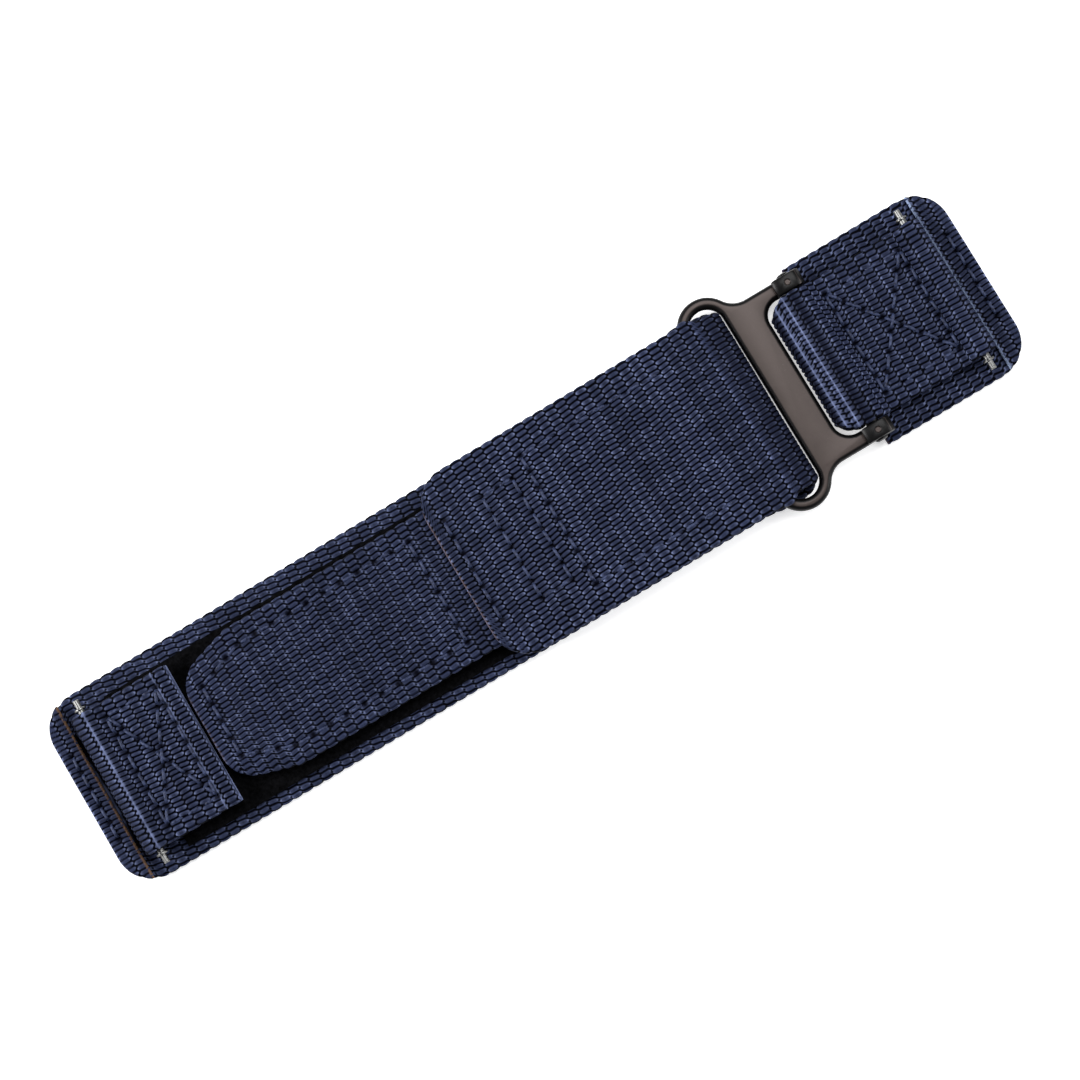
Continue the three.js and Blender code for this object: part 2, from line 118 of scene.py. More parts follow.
# The bight round the buckle's pin
BIGHT_OUT = 1.0  # how far the cloth bulges past the CAD's bight
BIGHT_ROOM = 0.25  # what stays clear as it swings past the open slot's round corners

# Sewing
STITCH = 2.53
NEEDLE_R = 0.45
NEEDLE_DEPTH = 0.45
SEAM_WIDTH = 0.5
SEAM_DEPTH = 0.14
THREAD_R = 0.21
SUNK_ALONG = 0.3  # stitches along the band sink this much further, between the floats
THREAD_PLY_TURNS = 1.3  # turns of the thread's plies in one stitch
THREAD_DIVE = 0.62  # how far a stitch's ends go down
THREAD_STRAY = 0.05

# Tapes
PILE_SPACING = 0.85 / 1.5
PILE_MARGIN = 0.35
PILE_SHOWS = 0.35  # how far the pile stands out past the tongue on the +Y side
PILE_WIRE = 0.035
HOOK_SPACING_X = 0.95
HOOK_SPACING_Y = 0.75
HOOK_WIRE = 0.07
TAPE_THICK = 0.28

# Buckle
BUCKLE_EDGE = 0.66
RING_END_R = 4.0
SLOT_R = 2.4
NECK_R = 3.2
OPEN_SLOT_R = 2.3
ARM_WIDTH = 2.2
BAR_WIDTH = 7.3  # from the middle of the ring's round ends to the open slot
PIN_PROUD = 0.35  # how far the pin's heads stand out past the arms
KNUCKLE_EDGE = 0.22
DIMPLE_R = 0.62
DIMPLE_DEPTH = 0.15
KNUCKLE_DOWN = 1.25  # from the pin's middle to the knuckle's lowest point
KNUCKLE_LEFT = 1.9  # from the pin's middle to the knuckle's flat left face

# Spring bars
BORE_SHARE = 0.75  # the tube's bore, as a share of its outside
TUBE_CUT = 0.06
TIP_CUT = 0.07
STEM_R = 0.5
POINT_R = 0.42
COLLAR_FROM = 1.5  # the collar's two faces, from the tip's outer end
COLLAR_TO = 1.2

# Camera and light
VIEW_TURN = 30.75  # the band's +X above the picture's horizontal, degrees
VIEW_TILT = 5.0  # the camera's lean from straight above towards the band's -Y side, degrees
VIEW_TARGET = (0.42, -0.93, 2.5)  # the point of the band at the picture's middle
VIEW_DISTANCE = 290.0
VIEW_WIDTH = 141.4  # what the picture takes in at the band
SOFTBOX_SIZE = 0.3  # metres

# The UV map of a strip: its face on the left half, its back on the right half
UV_EDGE = 0.01
UV_WIDTH = 0.47
UV_BACK = 0.52

RNG_SEED = 7


def box_mm(node):
    low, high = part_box(node)
    return low * MM, high * MM


def joint_mm(name):
    """The place of a joint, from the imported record."""
    joint = next(j for j in frame["joints"] if j["name"] == name)
    return Vector(joint["pos_m"]) * MM


# ---------------------------------------------------------------- meshes

def mesh_object(name, points, quads, extra=(), smooth=True):
    """An object of points in mm, with an array of quads and a list of other faces."""
    mesh = bpy.data.meshes.new(name)
    fill_mesh(mesh, points / MM, quads, extra)
    mesh.polygons.foreach_set("use_smooth", [smooth] * len(mesh.polygons))
    made = bpy.data.objects.new(name, mesh)
    bpy.context.scene.collection.objects.link(made)
    return made


def fill_mesh(mesh, points, quads, extra):
    loops = np.concatenate([quads.ravel(), *[np.asarray(f) for f in extra]]).astype(np.int32)
    totals = np.array([4] * len(quads) + [len(f) for f in extra], np.int32)
    starts = np.concatenate([[0], np.cumsum(totals)[:-1]]).astype(np.int32)
    mesh.vertices.add(len(points))
    mesh.vertices.foreach_set("co", points.astype(np.float32).ravel())
    mesh.loops.add(len(loops))
    mesh.loops.foreach_set("vertex_index", loops)
    mesh.polygons.add(len(totals))
    mesh.polygons.foreach_set("loop_start", starts)
    mesh.update(calc_edges=True)


def tube(rows, ring, start=0, closed=False):
    """The quads of a tube whose points are numbered ring by ring from start, and the faces at its ends. The
    last ring of a closed tube joins its first."""
    index = start + np.arange(rows * ring).reshape(rows, ring)
    if closed:
        index = np.concatenate([index, index[:1]])
    ahead = np.roll(index, -1, axis=1)
    quads = np.stack([index[:-1], ahead[:-1], ahead[1:], index[1:]], -1).reshape(-1, 4)
    return quads, [] if closed else [index[0][::-1], index[-1]]


def round_angles(sides):
    return np.arange(sides) * 2 * math.pi / sides


def signed_volume(mesh):
    mesh.calc_loop_triangles()
    points = np.zeros(len(mesh.vertices) * 3)
    mesh.vertices.foreach_get("co", points)
    corners = np.zeros(len(mesh.loop_triangles) * 3, np.int32)
    mesh.loop_triangles.foreach_get("vertices", corners)
    a, b, c = points.reshape(-1, 3)[corners.reshape(-1, 3)].transpose(1, 0, 2)
    return float(np.einsum("ij,ij->i", a, np.cross(b, c)).sum())


def face_outward(mesh):
    if signed_volume(mesh) < 0:
        mesh.flip_normals()


def point_values(mesh, name, values):
    attribute = mesh.attributes.new(name, "FLOAT", "POINT")
    attribute.data.foreach_set("value", np.asarray(values, np.float32).ravel())


def point_vectors(mesh, name, values):
    attribute = mesh.attributes.new(name, "FLOAT_VECTOR", "POINT")
    attribute.data.foreach_set("vector", np.asarray(values, np.float32).ravel())


# ---------------------------------------------------------------- lines in the XZ plane

class Line:
    """A line in X and Z made of straight, round and curved stretches, as close points."""

    STEP = 0.03

    def __init__(self, x, z):
        self.points = [np.array([[x, z]], float)]

    def end(self):
        return self.points[-1][-1]

    def add(self, points):
        self.points.append(np.asarray(points)[1:])
        return self

    def to(self, x, z):
        goal = np.array([x, z], float)
        count = max(2, int(np.linalg.norm(goal - self.end()) / self.STEP))
        share = np.linspace(0, 1, count)[:, None]
        return self.add(self.end() * (1 - share) + goal * share)

    def arc(self, x, z, radius, start, end):
        count = max(8, int(abs(math.radians(end - start)) * radius / self.STEP))
        angle = np.radians(np.linspace(start, end, count))
        return self.add(np.stack([x + radius * np.cos(angle), z + radius * np.sin(angle)], 1))

    def curve(self, first, second, goal):
        t = np.linspace(0, 1, 80)[:, None]
        corners = [self.end(), np.array(first), np.array(second), np.array(goal)]
        weights = [(1 - t) ** 3, 3 * t * (1 - t) ** 2, 3 * t * t * (1 - t), t ** 3]
        return self.add(sum(w * c for w, c in zip(weights, corners)))

    def measured(self):
        """The distance along it, its points, and its right-hand normals."""
        points = np.concatenate(self.points)
        s = np.concatenate([[0], np.cumsum(np.linalg.norm(np.diff(points, axis=0), axis=1))])
        tangent = np.gradient(points, s, axis=0)
        kernel = np.ones(9) / 9
        for axis in (0, 1):
            padded = np.pad(tangent[:, axis], 4, mode="edge")
            tangent[:, axis] = np.convolve(padded, kernel, mode="valid")
        tangent /= np.linalg.norm(tangent, axis=1)[:, None]
        return s, points, np.stack([tangent[:, 1], -tangent[:, 0]], 1)


# ---------------------------------------------------------------- webbing

def steady_noise(a, b):
    """A number from 0 to 1 that depends only on a and b."""
    value = np.sin(a * 12.9898 + b * 78.233) * 43758.5453
    return value - np.floor(value)


def float_count(w, half):
    """How many floats lie between the middle line and w."""
    inner = half - EDGE_BAND
    beyond = np.clip(np.abs(w) - inner, 0, None)
    return np.sign(w) * (np.clip(np.abs(w), 0, inner) / FLOAT + beyond / EDGE_FLOAT)


def float_place(count, half):
    """Where across the webbing a count of floats ends."""
    inner = (half - EDGE_BAND) / FLOAT
    beyond = np.clip(np.abs(count) - inner, 0, None)
    return np.sign(count) * (np.clip(np.abs(count), 0, inner) * FLOAT + beyond * EDGE_FLOAT)


def floats(s, w, half, parity=0):
    """The weave: how high each point stands on its float, from 0 in a gap to 1 on a crest, how near it is to
    the float's end as the strength of a painted highlight there, and a steady random number for that float."""
    height = np.zeros(np.broadcast(s, w).shape)
    tip = np.zeros_like(height)
    tone = np.zeros_like(height)
    own = np.floor(s / COLUMN)
    for step in (-1, 0, 1):
        column = own + step
        u = np.abs(s / COLUMN - column - 0.5) / FLOAT_REACH
        place = float_count(w, half) + 0.5 * np.mod(column + parity, 2)
        index = np.floor(place)
        v = np.abs(place - index - 0.5) * 2
        width = np.clip((1 - u) / (1 - FLOAT_FULL), 0.001, 1) ** 0.6
        rise = np.sqrt(np.clip(1 - (v / width) ** 2, 0, 1)) * np.sqrt(np.clip(1 - u ** 4, 0, 1))
        random = steady_noise(column, index)
        rise = rise * (0.9 + 0.1 * random)
        higher = rise > height
        height = np.where(higher, rise, height)
        # Painted highlight near the float's ends, stronger on some floats than on others.
        tip = np.where(higher, np.clip((u - 0.5) / 0.35, 0, 1) * (0.35 + 0.65 * random), tip)
        tone = np.where(higher, 0.4 * random + 0.6 * steady_noise(column, 9.0), tone)
    return height, tip, tone


def stray(s, w):
    """How far the floats are off their even places across the webbing."""
    wave = np.sin(0.83 * w + 1.9 * s / COLUMN) + np.sin(0.31 * w - 0.7 * s / COLUMN + 1)
    return WANDER * wave + WANDER * np.sin(2.1 * s / COLUMN + 0.11 * w)


def swell(s, w):
    """Slow waves in the cloth's surface, in mm."""
    return 0.025 * np.sin(0.41 * s + 0.3 * w) + 0.02 * np.sin(0.23 * w - 0.17 * s)


def lines_across(half, fine_from):
    """Where the mesh has lines across a strip: close together beyond fine_from, and at the selvedges."""
    reach = int(float_count(np.array(half), half)) + 1
    counts = []
    for index in range(-reach, reach + 1):
        middle = float_place(np.array(index + 0.5), half)
        steps = ACROSS_STEPS if abs(middle) >= fine_from else ACROSS_STEPS_PLAIN
        counts += [index + step for step in steps]
    w = float_place(np.array(sorted(counts)), half)
    w = w[np.abs(w) < half - SELVEDGE_R - 0.05]
    turn = np.radians(np.array([0, 22.5, 45, 67.5, 90]))
    rim = half - SELVEDGE_R * (1 - np.sin(turn))
    return np.concatenate([-rim[::-1], w, rim])


def rows_along(length, corners, fine, creases):
    """Where the mesh has rows along a strip: close together in the fine stretches, round its ends and at
    its creases."""
    columns = int(length / COLUMN) + 1
    rows = []
    for column in range(columns):
        middle = (column + 0.5) * COLUMN
        steps = ALONG_STEPS if any(a <= middle <= b for a, b in fine) else ALONG_STEPS_PLAIN
        rows += [(column + step) * COLUMN for step in steps]
    near_end = [0, 0.05, 0.12, 0.22, MELT + 0.05]
    first, last = corners
    rows += near_end + [first * (1 - math.cos(math.radians(a))) for a in range(8, 90, 8)]
    rows += [length - d for d in near_end]
    rows += [length - last * (1 - math.cos(math.radians(a))) for a in range(8, 90, 8)]
    rows += [at + offset for at in creases for offset in (-CREASE_WIDTH, 0, CREASE_WIDTH)]
    rows = np.array(sorted(r for r in rows if 0 <= r <= length))
    keep = np.concatenate([[True], np.diff(rows) > 0.025])
    rows = rows[keep]
    rows[-1] = length
    return rows


def corner_width(half, first, last, length):
    """Half the width along a strip whose corners are rounded by these radii at its two ends."""
    def width(s):
        made = np.full_like(s, half)
        for radius, distance in ((first, s), (last, length - s)):
            inside = np.clip(radius - distance, 0, radius)
            made -= radius - np.sqrt(radius ** 2 - inside ** 2)
        return made
    return width


def pulled_down(x, y, seams):
    """How far stitches draw the cloth down at points, in mm, and how much painted shade their needle holes
    get.
    """
    depth = np.zeros_like(x)
    painted_shade = np.zeros_like(x)
    for holes in seams:
        for start, end in zip(holes[:-1], holes[1:]):
            run = np.array(end) - np.array(start)
            share = np.clip(((x - start[0]) * run[0] + (y - start[1]) * run[1]) / (run @ run), 0, 1)
            away = np.hypot(x - start[0] - share * run[0], y - start[1] - share * run[1])
            depth = np.maximum(depth, SEAM_DEPTH * np.exp(-((away / SEAM_WIDTH) ** 2)))
        along_band = abs(holes[-1][1] - holes[0][1]) < 0.1
        for hole in holes:
            away = np.hypot(x - hole[0], y - hole[1]) * (2 if along_band else 1)
            depth = np.maximum(depth, NEEDLE_DEPTH * np.exp(-((away / NEEDLE_R) ** 2)))
            # Painted shade in each needle hole.
            painted_shade = np.maximum(painted_shade, np.exp(-((away / (NEEDLE_R * 1.05)) ** 4)))
    return depth, painted_shade


def webbing(name, line, half, thick, side=1, corners=(0, 0), width_at=None, fine=None, back_fine=None,
            seams=(), scorch_and_glint=(0, 0), phase=0.0, creases=(), shaded=()):
    """A strip of woven webbing along a line in X and Z. Its face is on the line's right, or its left where
    side is -1. Fine holds the stretches of s that get a close mesh, and back_fine is how near the middle
    the close mesh reaches on the back. Seams are lists of needle holes in X and Y, on faces that look up.
    Creases are places along s with a thin ridge across the face and a painted highlight along it. Shaded holds
    stretches of s that get painted shade, each with its share. The cut-end argument is how much of each cut
    end has the edge's colour: a brown scorch, and a painted highlight where that colour is pale."""
    s_line, p_line, n_line = line.measured()
    length = s_line[-1]
    fine = [(0, length)] if fine is None else fine
    back_fine = half - 1.2 if back_fine is None else back_fine
    s = rows_along(length, corners, fine, creases)
    width_at = width_at or corner_width(half, corners[0], corners[1], length)
    scale = (width_at(s) / half)[:, None]
    place = np.stack([np.interp(s, s_line, p_line[:, i]) for i in (0, 1)], 1)
    normal = np.stack([np.interp(s, s_line, n_line[:, i]) for i in (0, 1)], 1) * side
    sides = []
    for facing, across in ((1, lines_across(half, 0)), (-1, lines_across(half, back_fine))):
        w = across[None, :] * scale
        along = s[:, None] + 0 * w
        back = facing == -1
        rise, tip, tone = floats(along + phase, w + BACK_SHIFT * back, half, int(back))
        to_rim = half * scale - np.abs(w)
        to_end = np.minimum(along, length - along)
        rim = np.sqrt(1 - np.clip(1 - to_rim / SELVEDGE_R, 0, 1) ** 2)
        end = np.sqrt(1 - np.clip(1 - to_end / END_R, 0, 1) ** 2) * (1 - END_THICK) + END_THICK
        woven = np.clip(to_end / MELT, 0, 1)
        bead = np.abs(np.sin(math.pi * (along + phase) / COLUMN)) ** 0.7
        near_rim = np.clip(1 - to_rim / BEAD_BAND, 0, 1)
        w_now = w + np.sign(w) * (SELVEDGE_OUT - BEAD * (1 - bead)) * woven * near_rim
        lean = LEAN * np.sin(2 * math.pi * (along + phase) / COLUMN)
        w_now = w_now + (stray(along, w) + lean) * (1 - near_rim)
        crease = 0 * w
        if not back:
            crease = crease + sum(np.exp(-((along - at) / CREASE_WIDTH) ** 2) for at in creases)
        rise = np.maximum(rise, crease * 0.9)
        # A painted highlight along each crease's ridge.
        tip = np.maximum(tip, crease * (0.35 + 0.5 * steady_noise(np.floor(w / 0.4), 2.0)))
        lift = COLUMN_LIFT * steady_noise(np.floor((along + phase) / COLUMN), 3.0)
        lift = lift + CREASE_HEIGHT * crease + swell(along, w)
        drop = RELIEF * (1 - rise) * woven + CREST_DROP - lift
        x = place[:, 0][:, None] + 0 * w
        up = (normal[:, 1] * facing > 0.6)[:, None]
        depth, painted_shade = (0 * w, 0 * w) if back else pulled_down(x, w_now, seams)
        height = (thick / 2 * end - drop - depth * up) * rim * facing
        points = np.stack([x + normal[:, 0][:, None] * height, w_now,
                           place[:, 1][:, None] + normal[:, 1][:, None] * height], -1)
        # Painted shade on the shaded stretches, fading in from their ends.
        shade = 0 * w
        for start, stop, share in shaded:
            inside = np.minimum(along - start, stop - along)
            shade = np.maximum(shade, share * np.clip(inside / SHADE_FADE, 0, 1))
        # Colour of the cut ends: brown scorch, and a painted highlight where the edge colour is pale.
        end_scorch_and_glint = np.maximum(scorch_and_glint[0] * np.clip(1 - along / SCORCH_AND_GLINT_REACH, 0, 1),
                              scorch_and_glint[1] * np.clip(1 - (length - along) / SCORCH_AND_GLINT_REACH, 0, 1))
        sides.append({"points": points, "rise": rise * woven + 0.8 * (1 - woven), "tip": tip, "tone": tone,
                      "painted_shade": np.maximum(painted_shade * up, shade), "scorch_and_glint": end_scorch_and_glint, "s": along, "w": w})
    return close_strip(name, sides, length, half)


def close_strip(name, sides, length, half):
    """One closed mesh from the grids of a strip's face and back, which share their two selvedge lines."""
    face, back = sides
    rows, face_lines = face["s"].shape
    around = {}
    for key in ("points", "rise", "tip", "tone", "painted_shade", "scorch_and_glint", "s", "w"):
        around[key] = np.concatenate([face[key], back[key][:, -2:0:-1]], 1)
    ring = around["s"].shape[1]
    quads, caps = tube(rows, ring)
    made = mesh_object(name, around["points"].reshape(-1, 3), quads, extra=caps)
    mesh = made.data
    face_outward(mesh)
    for key in ("rise", "tip", "tone", "painted_shade", "scorch_and_glint"):
        point_values(mesh, key, around[key])
    flat = np.stack([around["s"], around["w"], 0 * around["s"]], -1)
    point_vectors(mesh, "cloth", flat)
    lay_flat(mesh, around, ring, face_lines, length, half)
    return made


def lay_flat(mesh, around, ring, face_lines, length, half):
    """A UV map of a strip: its face on the left half, its back on the right half."""
    vertex = np.zeros(len(mesh.loops), np.int32)
    mesh.loops.foreach_get("vertex_index", vertex)
    polygon = np.repeat(np.arange(len(mesh.polygons)), poly_totals(mesh))
    line = vertex % ring
    lowest = np.full(len(mesh.polygons), ring)
    highest = np.zeros(len(mesh.polygons), int)
    np.minimum.at(lowest, polygon, line)
    np.maximum.at(highest, polygon, line)
    on_face = (highest < face_lines) & (lowest < face_lines)
    s = around["s"].ravel()[vertex] / length
    w = (around["w"].ravel()[vertex] / half + 1) / 2
    u = np.where(on_face[polygon], UV_EDGE, UV_BACK) + UV_WIDTH * w
    uv = np.stack([u, UV_EDGE + (1 - 2 * UV_EDGE) * s], 1)
    layer = mesh.uv_layers.new(name="OFBake")
    layer.data.foreach_set("uv", uv.astype(np.float32).ravel())


def poly_totals(mesh):
    totals = np.zeros(len(mesh.polygons), np.int32)
    mesh.polygons.foreach_get("loop_total", totals)
    return totals


# ---------------------------------------------------------------- seams

def hole_row(start, end):
    """Needle holes from start to end, a stitch apart."""
    start = np.array(start, float)
    end = np.array(end, float)
    count = max(1, round(np.linalg.norm(end - start) / STITCH))
    return [tuple(start + (end - start) * i / count) for i in range(count + 1)]


def seam_box(node):
    """Where a seam's middle lines lie: their least and greatest X, and their greatest Y. In the CAD, a seam is
    as wide as it is thick."""
    low, high = box_mm(node)
    inset = (high.z - low.z) / 2
    return low.x + inset, high.x - inset, high.y - inset


def cross_row(node):
    left, right, half = seam_box(node)
    middle = (left + right) / 2
    return [hole_row((middle, -half), (middle, half))]


def ring_of_holes(left, right, half):
    return [hole_row((left, -half), (left, half)), hole_row((right, -half), (right, half)),
            hole_row((left, -half), (right, -half)), hole_row((left, half), (right, half))]


def boxed(node, crossed):
    left, right, half = seam_box(node)
    rows = ring_of_holes(left, right, half)
    if crossed:
        rows += [hole_row((left, -half), (right, half)), hole_row((left, half), (right, -half))]
    return rows


def thread(name, rows, surface, body, node):
    """Stitches that dive into the cloth at each needle hole, with the plies of their thread."""
    around = 9
    along = 9
    angle = round_angles(around)
    points = []
    quads = []
    caps = []
    for holes in rows:
        for number, (start, end) in enumerate(zip(holes[:-1], holes[1:])):
            run = np.array(end) - np.array(start)
            length = np.linalg.norm(run)
            ahead = run / length
            aside = np.array([-ahead[1], ahead[0]])
            base = len(points) * around
            for i in range(along):
                t = i / (along - 1)
                sunk = SEAM_DEPTH * 0.6 + (SUNK_ALONG if abs(ahead[0]) > 0.9 else 0)
                lift = THREAD_R * 0.5 - THREAD_DIVE * (2 * t - 1) ** 6 - sunk
                sideways = THREAD_STRAY * math.sin(5.1 * number + 3 * t)
                middle = np.array(start) + run * (0.1 + 0.8 * t) + aside * sideways
                turn = 2 * math.pi * THREAD_PLY_TURNS * t
                radius = THREAD_R * (0.85 + 0.2 * np.abs(np.cos(1.5 * (angle - turn))))
                ring = np.empty((around, 3))
                ring[:, :2] = middle + np.outer(np.cos(angle) * radius, aside)
                ring[:, 2] = surface + lift + np.sin(angle) * radius * 0.8
                points.append(ring)
            stitch, ends = tube(along, around, base)
            quads.append(stitch)
            caps += ends
    made = mesh_object(name, np.concatenate(points), np.concatenate(quads), extra=caps)
    face_outward(made.data)
    finish_piece(made, body, "navy_thread", thread_material, node)
    return made


# ---------------------------------------------------------------- materials

class Shading:
    """A node tree with a Principled shader, and a short way to add nodes to it."""

    def __init__(self, name):
        self.material = bpy.data.materials.new(name)
        self.material.use_nodes = True
        self.tree = self.material.node_tree
        self.shader = next(n for n in self.tree.nodes if n.type == "BSDF_PRINCIPLED")

    def add(self, kind, inputs=(), **settings):
        node = self.tree.nodes.new("ShaderNode" + kind)
        for key, value in settings.items():
            setattr(node, key, value)
        for key, value in dict(inputs).items():
            self.put(node.inputs[key], value)
        return node

    def put(self, socket, value):
        if isinstance(value, bpy.types.NodeSocket):
            self.tree.links.new(value, socket)
        else:
            socket.default_value = value

    def attribute(self, name, output="Fac"):
        return self.add("Attribute", attribute_name=name).outputs[output]

    def math(self, operation, a, b):
        return self.add("Math", {0: a, 1: b}, operation=operation).outputs[0]

    def linear(self, value, factor, offset):
        """A number socket times a factor, plus an offset."""
        return self.add("Math", {0: value, 1: factor, 2: offset}, operation="MULTIPLY_ADD").outputs[0]

    def noise(self, place, scale, stretch=(1, 1, 1), detail=3.0, roughness=0.55):
        mapped = self.add("Mapping", {"Vector": place, "Scale": stretch}).outputs[0]
        made = self.add("TexNoise", {"Vector": mapped, "Scale": scale, "Detail": detail,
                                     "Roughness": roughness})
        return made.outputs["Fac"]

    def ramp(self, value, stops):
        node = self.add("ValToRGB", {"Fac": value})
        ramp = node.color_ramp
        while len(ramp.elements) < len(stops):
            ramp.elements.new(0.5)
        for element, (position, colour) in zip(ramp.elements, stops):
            element.position = position
            element.color = (*colour, 1)
        return node.outputs["Color"]

    def mix(self, share, a, b, blend="MIX"):
        node = self.add("Mix", data_type="RGBA", blend_type=blend)
        self.put(node.inputs[0], share)
        self.put(node.inputs[6], (*a, 1) if isinstance(a, tuple) else a)
        self.put(node.inputs[7], (*b, 1) if isinstance(b, tuple) else b)
        return node.outputs[2]

    def scaled(self, colour, factor):
        """A colour times a number socket."""
        spread = self.add("CombineColor", {0: factor, 1: factor, 2: factor}).outputs[0]
        return self.mix(1.0, colour, spread, "MULTIPLY")

    def bump(self, height, distance, strength):
        return self.add("Bump", {"Height": height, "Distance": distance, "Strength": strength}).outputs[0]

    def done(self, **sockets):
        for key, value in sockets.items():
            self.put(self.shader.inputs[key.replace("_", " ")], value)
        return self.material


made_materials = {}


def shared(make, *args):
    """Makes each material once."""
    key = (make.__name__, args)
    if key not in made_materials:
        made_materials[key] = make(*args)
    return made_materials[key]


# Cut-end colours: a brown scorch, and a pale painted highlight where light catches the right patch's cut end.
BROWN_EDGE = (0.16, 0.09, 0.045)
PALE_EDGE_GLINT = (0.32, 0.40, 0.60)


def webbing_material(edge_colour=BROWN_EDGE):
    """Navy nylon floats with fibres along each float and fused cut ends. The gaps between floats are painted
    near-black as painted shade, and the float flanks and ends carry a painted highlight.
    """
    m = Shading("navy webbing")
    cloth = m.attribute("cloth", "Vector")
    # Painted shade: the near-black of the gaps stands for the shade between the yarns.
    gap = (0.0, 0.0001, 0.0016)
    # Painted highlight: a float's flanks are lighter than its crest.
    flank = (0.026, 0.033, 0.070)
    crest = (0.015, 0.018, 0.034)
    # Painted highlight: the pale colour of float ends and creases.
    tip = (0.20, 0.24, 0.42)
    on_crest = m.ramp(m.attribute("rise"), [(0.84, (0, 0, 0)), (0.99, (1, 1, 1))])
    colour = m.mix(on_crest, flank, crest)
    colour = m.mix(m.attribute("tip"), colour, tip)
    shade = m.ramp(m.attribute("rise"), [(0.55, (0, 0, 0)), (0.82, (1, 1, 1))])
    colour = m.mix(shade, gap, colour)
    fibre = m.noise(cloth, 1.0, (1.1, 13.0, 1.0), 4.0, 0.7)
    patches = m.noise(cloth, 0.22, (1.0, 1.6, 1.0), 2.0)
    tone = m.linear(m.attribute("tone"), 0.9, 0.2)
    streak = m.linear(fibre, 1.1, -0.2)
    drift = m.linear(patches, 0.8, 0.25)
    factor = m.math("ADD", m.math("ADD", tone, streak), drift)
    colour = m.scaled(colour, m.math("MULTIPLY", factor, 0.6))
    # Painted shade: needle holes and shaded stretches are mixed towards near-black.
    colour = m.mix(m.math("MULTIPLY", m.attribute("painted_shade"), 0.93), colour, (0.001, 0.001, 0.003))
    speckle = m.noise(cloth, 2.2, (1, 1, 1), 2.0)
    # Cut ends: brown scorch, and a painted highlight where the edge colour is pale.
    scorch_and_glint = m.math("MULTIPLY", m.attribute("scorch_and_glint"), m.math("GREATER_THAN", speckle, 0.42))
    colour = m.mix(scorch_and_glint, colour, edge_colour)
    rough = m.linear(fibre, 0.25, 0.35)
    bump = m.bump(fibre, 0.00006, 0.7)
    return m.done(Base_Color=colour, Roughness=rough, Normal=bump, Specular_IOR_Level=0.025)


def thread_material():
    m = Shading("navy thread")
    place = m.add("TexCoord").outputs["Object"]
    strands = m.noise(place, 2600.0, (1, 1, 1), 2.0)
    colour = m.ramp(strands, [(0.3, (0.003, 0.005, 0.018)), (0.7, (0.045, 0.060, 0.13))])
    bump = m.bump(strands, 0.00004, 0.6)
    return m.done(Base_Color=colour, Roughness=0.5, Normal=bump, Specular_IOR_Level=0.25)


def pile_material():
    m = Shading("black pile")
    place = m.add("TexCoord").outputs["Object"]
    fuzz = m.noise(place, 1800.0, (1, 1, 1), 4.0, 0.7)
    colour = m.ramp(fuzz, [(0.35, (0.0004, 0.0004, 0.0005)), (0.75, (0.005, 0.005, 0.006))])
    return m.done(Base_Color=colour, Roughness=0.9, Normal=m.bump(fuzz, 0.0001, 0.8),
                  Specular_IOR_Level=0.03)


def hook_material():
    m = Shading("black hooks")
    place = m.add("TexCoord").outputs["Object"]
    grain = m.noise(place, 1500.0, (1, 1, 1), 2.0)
    colour = m.ramp(grain, [(0.3, (0.004, 0.004, 0.0045)), (0.8, (0.014, 0.014, 0.016))])
    return m.done(Base_Color=colour, Roughness=0.5, Normal=m.bump(grain, 0.00003, 0.5),
                  Specular_IOR_Level=0.4)


def gunmetal_material():
    """A satin coating whose flat faces are painted brown-grey and rounded edges black, as a painted reflection
    of the softboxes on the flats and of the dark surroundings on the edges.
    """
    m = Shading("gunmetal coating")
    place = m.add("TexCoord").outputs["Object"]
    grain = m.noise(place, 5200.0, (1, 1, 1), 3.0, 0.6)
    smudge = m.noise(place, 260.0, (1, 1, 1), 3.0)
    scuffs = m.noise(place, 700.0, (1, 5, 1), 4.0, 0.7)
    # Painted reflection: the brown-grey of the flat faces stands for the softboxes they mirror.
    flat = m.ramp(smudge, [(0.3, (0.044, 0.033, 0.030)), (0.7, (0.058, 0.045, 0.041))])
    worn = m.math("MULTIPLY", m.math("GREATER_THAN", scuffs, 0.68), 0.15)
    flat = m.mix(worn, flat, (0.12, 0.105, 0.10))
    # Painted reflection: points off the flat faces are painted black for the dark surroundings that the
    # rounded edges mirror.
    colour = m.mix(m.attribute("flat"), (0.004, 0.0038, 0.004), flat)
    rough = m.linear(smudge, 0.2, 0.3)
    bump = m.bump(grain, 0.000012, 0.6)
    return m.done(Base_Color=colour, Metallic=0.35, Roughness=rough, Normal=bump, Specular_IOR_Level=0.25)


def steel_material():
    """Turned stainless steel, with fine lines round it."""
    m = Shading("turned steel")
    place = m.add("TexCoord").outputs["Object"]
    turned_lines = m.noise(place, 900.0, (1, 9, 1), 3.0)
    colour = m.ramp(turned_lines, [(0.3, (0.16, 0.16, 0.155)), (0.7, (0.26, 0.26, 0.255))])
    rough = m.linear(turned_lines, 0.2, 0.22)
    bump = m.bump(turned_lines, 0.00001, 0.5)
    return m.done(Base_Color=colour, Metallic=1.0, Roughness=rough, Normal=bump)


def finish_piece(piece, body, slot, material, *nodes):
    """Gives a piece its material, its body, and the CAD nodes that it stands for. Its slot is not used."""
    piece.data.materials.clear()
    piece.data.materials.append(shared(material) if callable(material) else material)
    if body:
        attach(piece, body)
    if nodes:
        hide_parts(*nodes)


# ---------------------------------------------------------------- webbing pieces

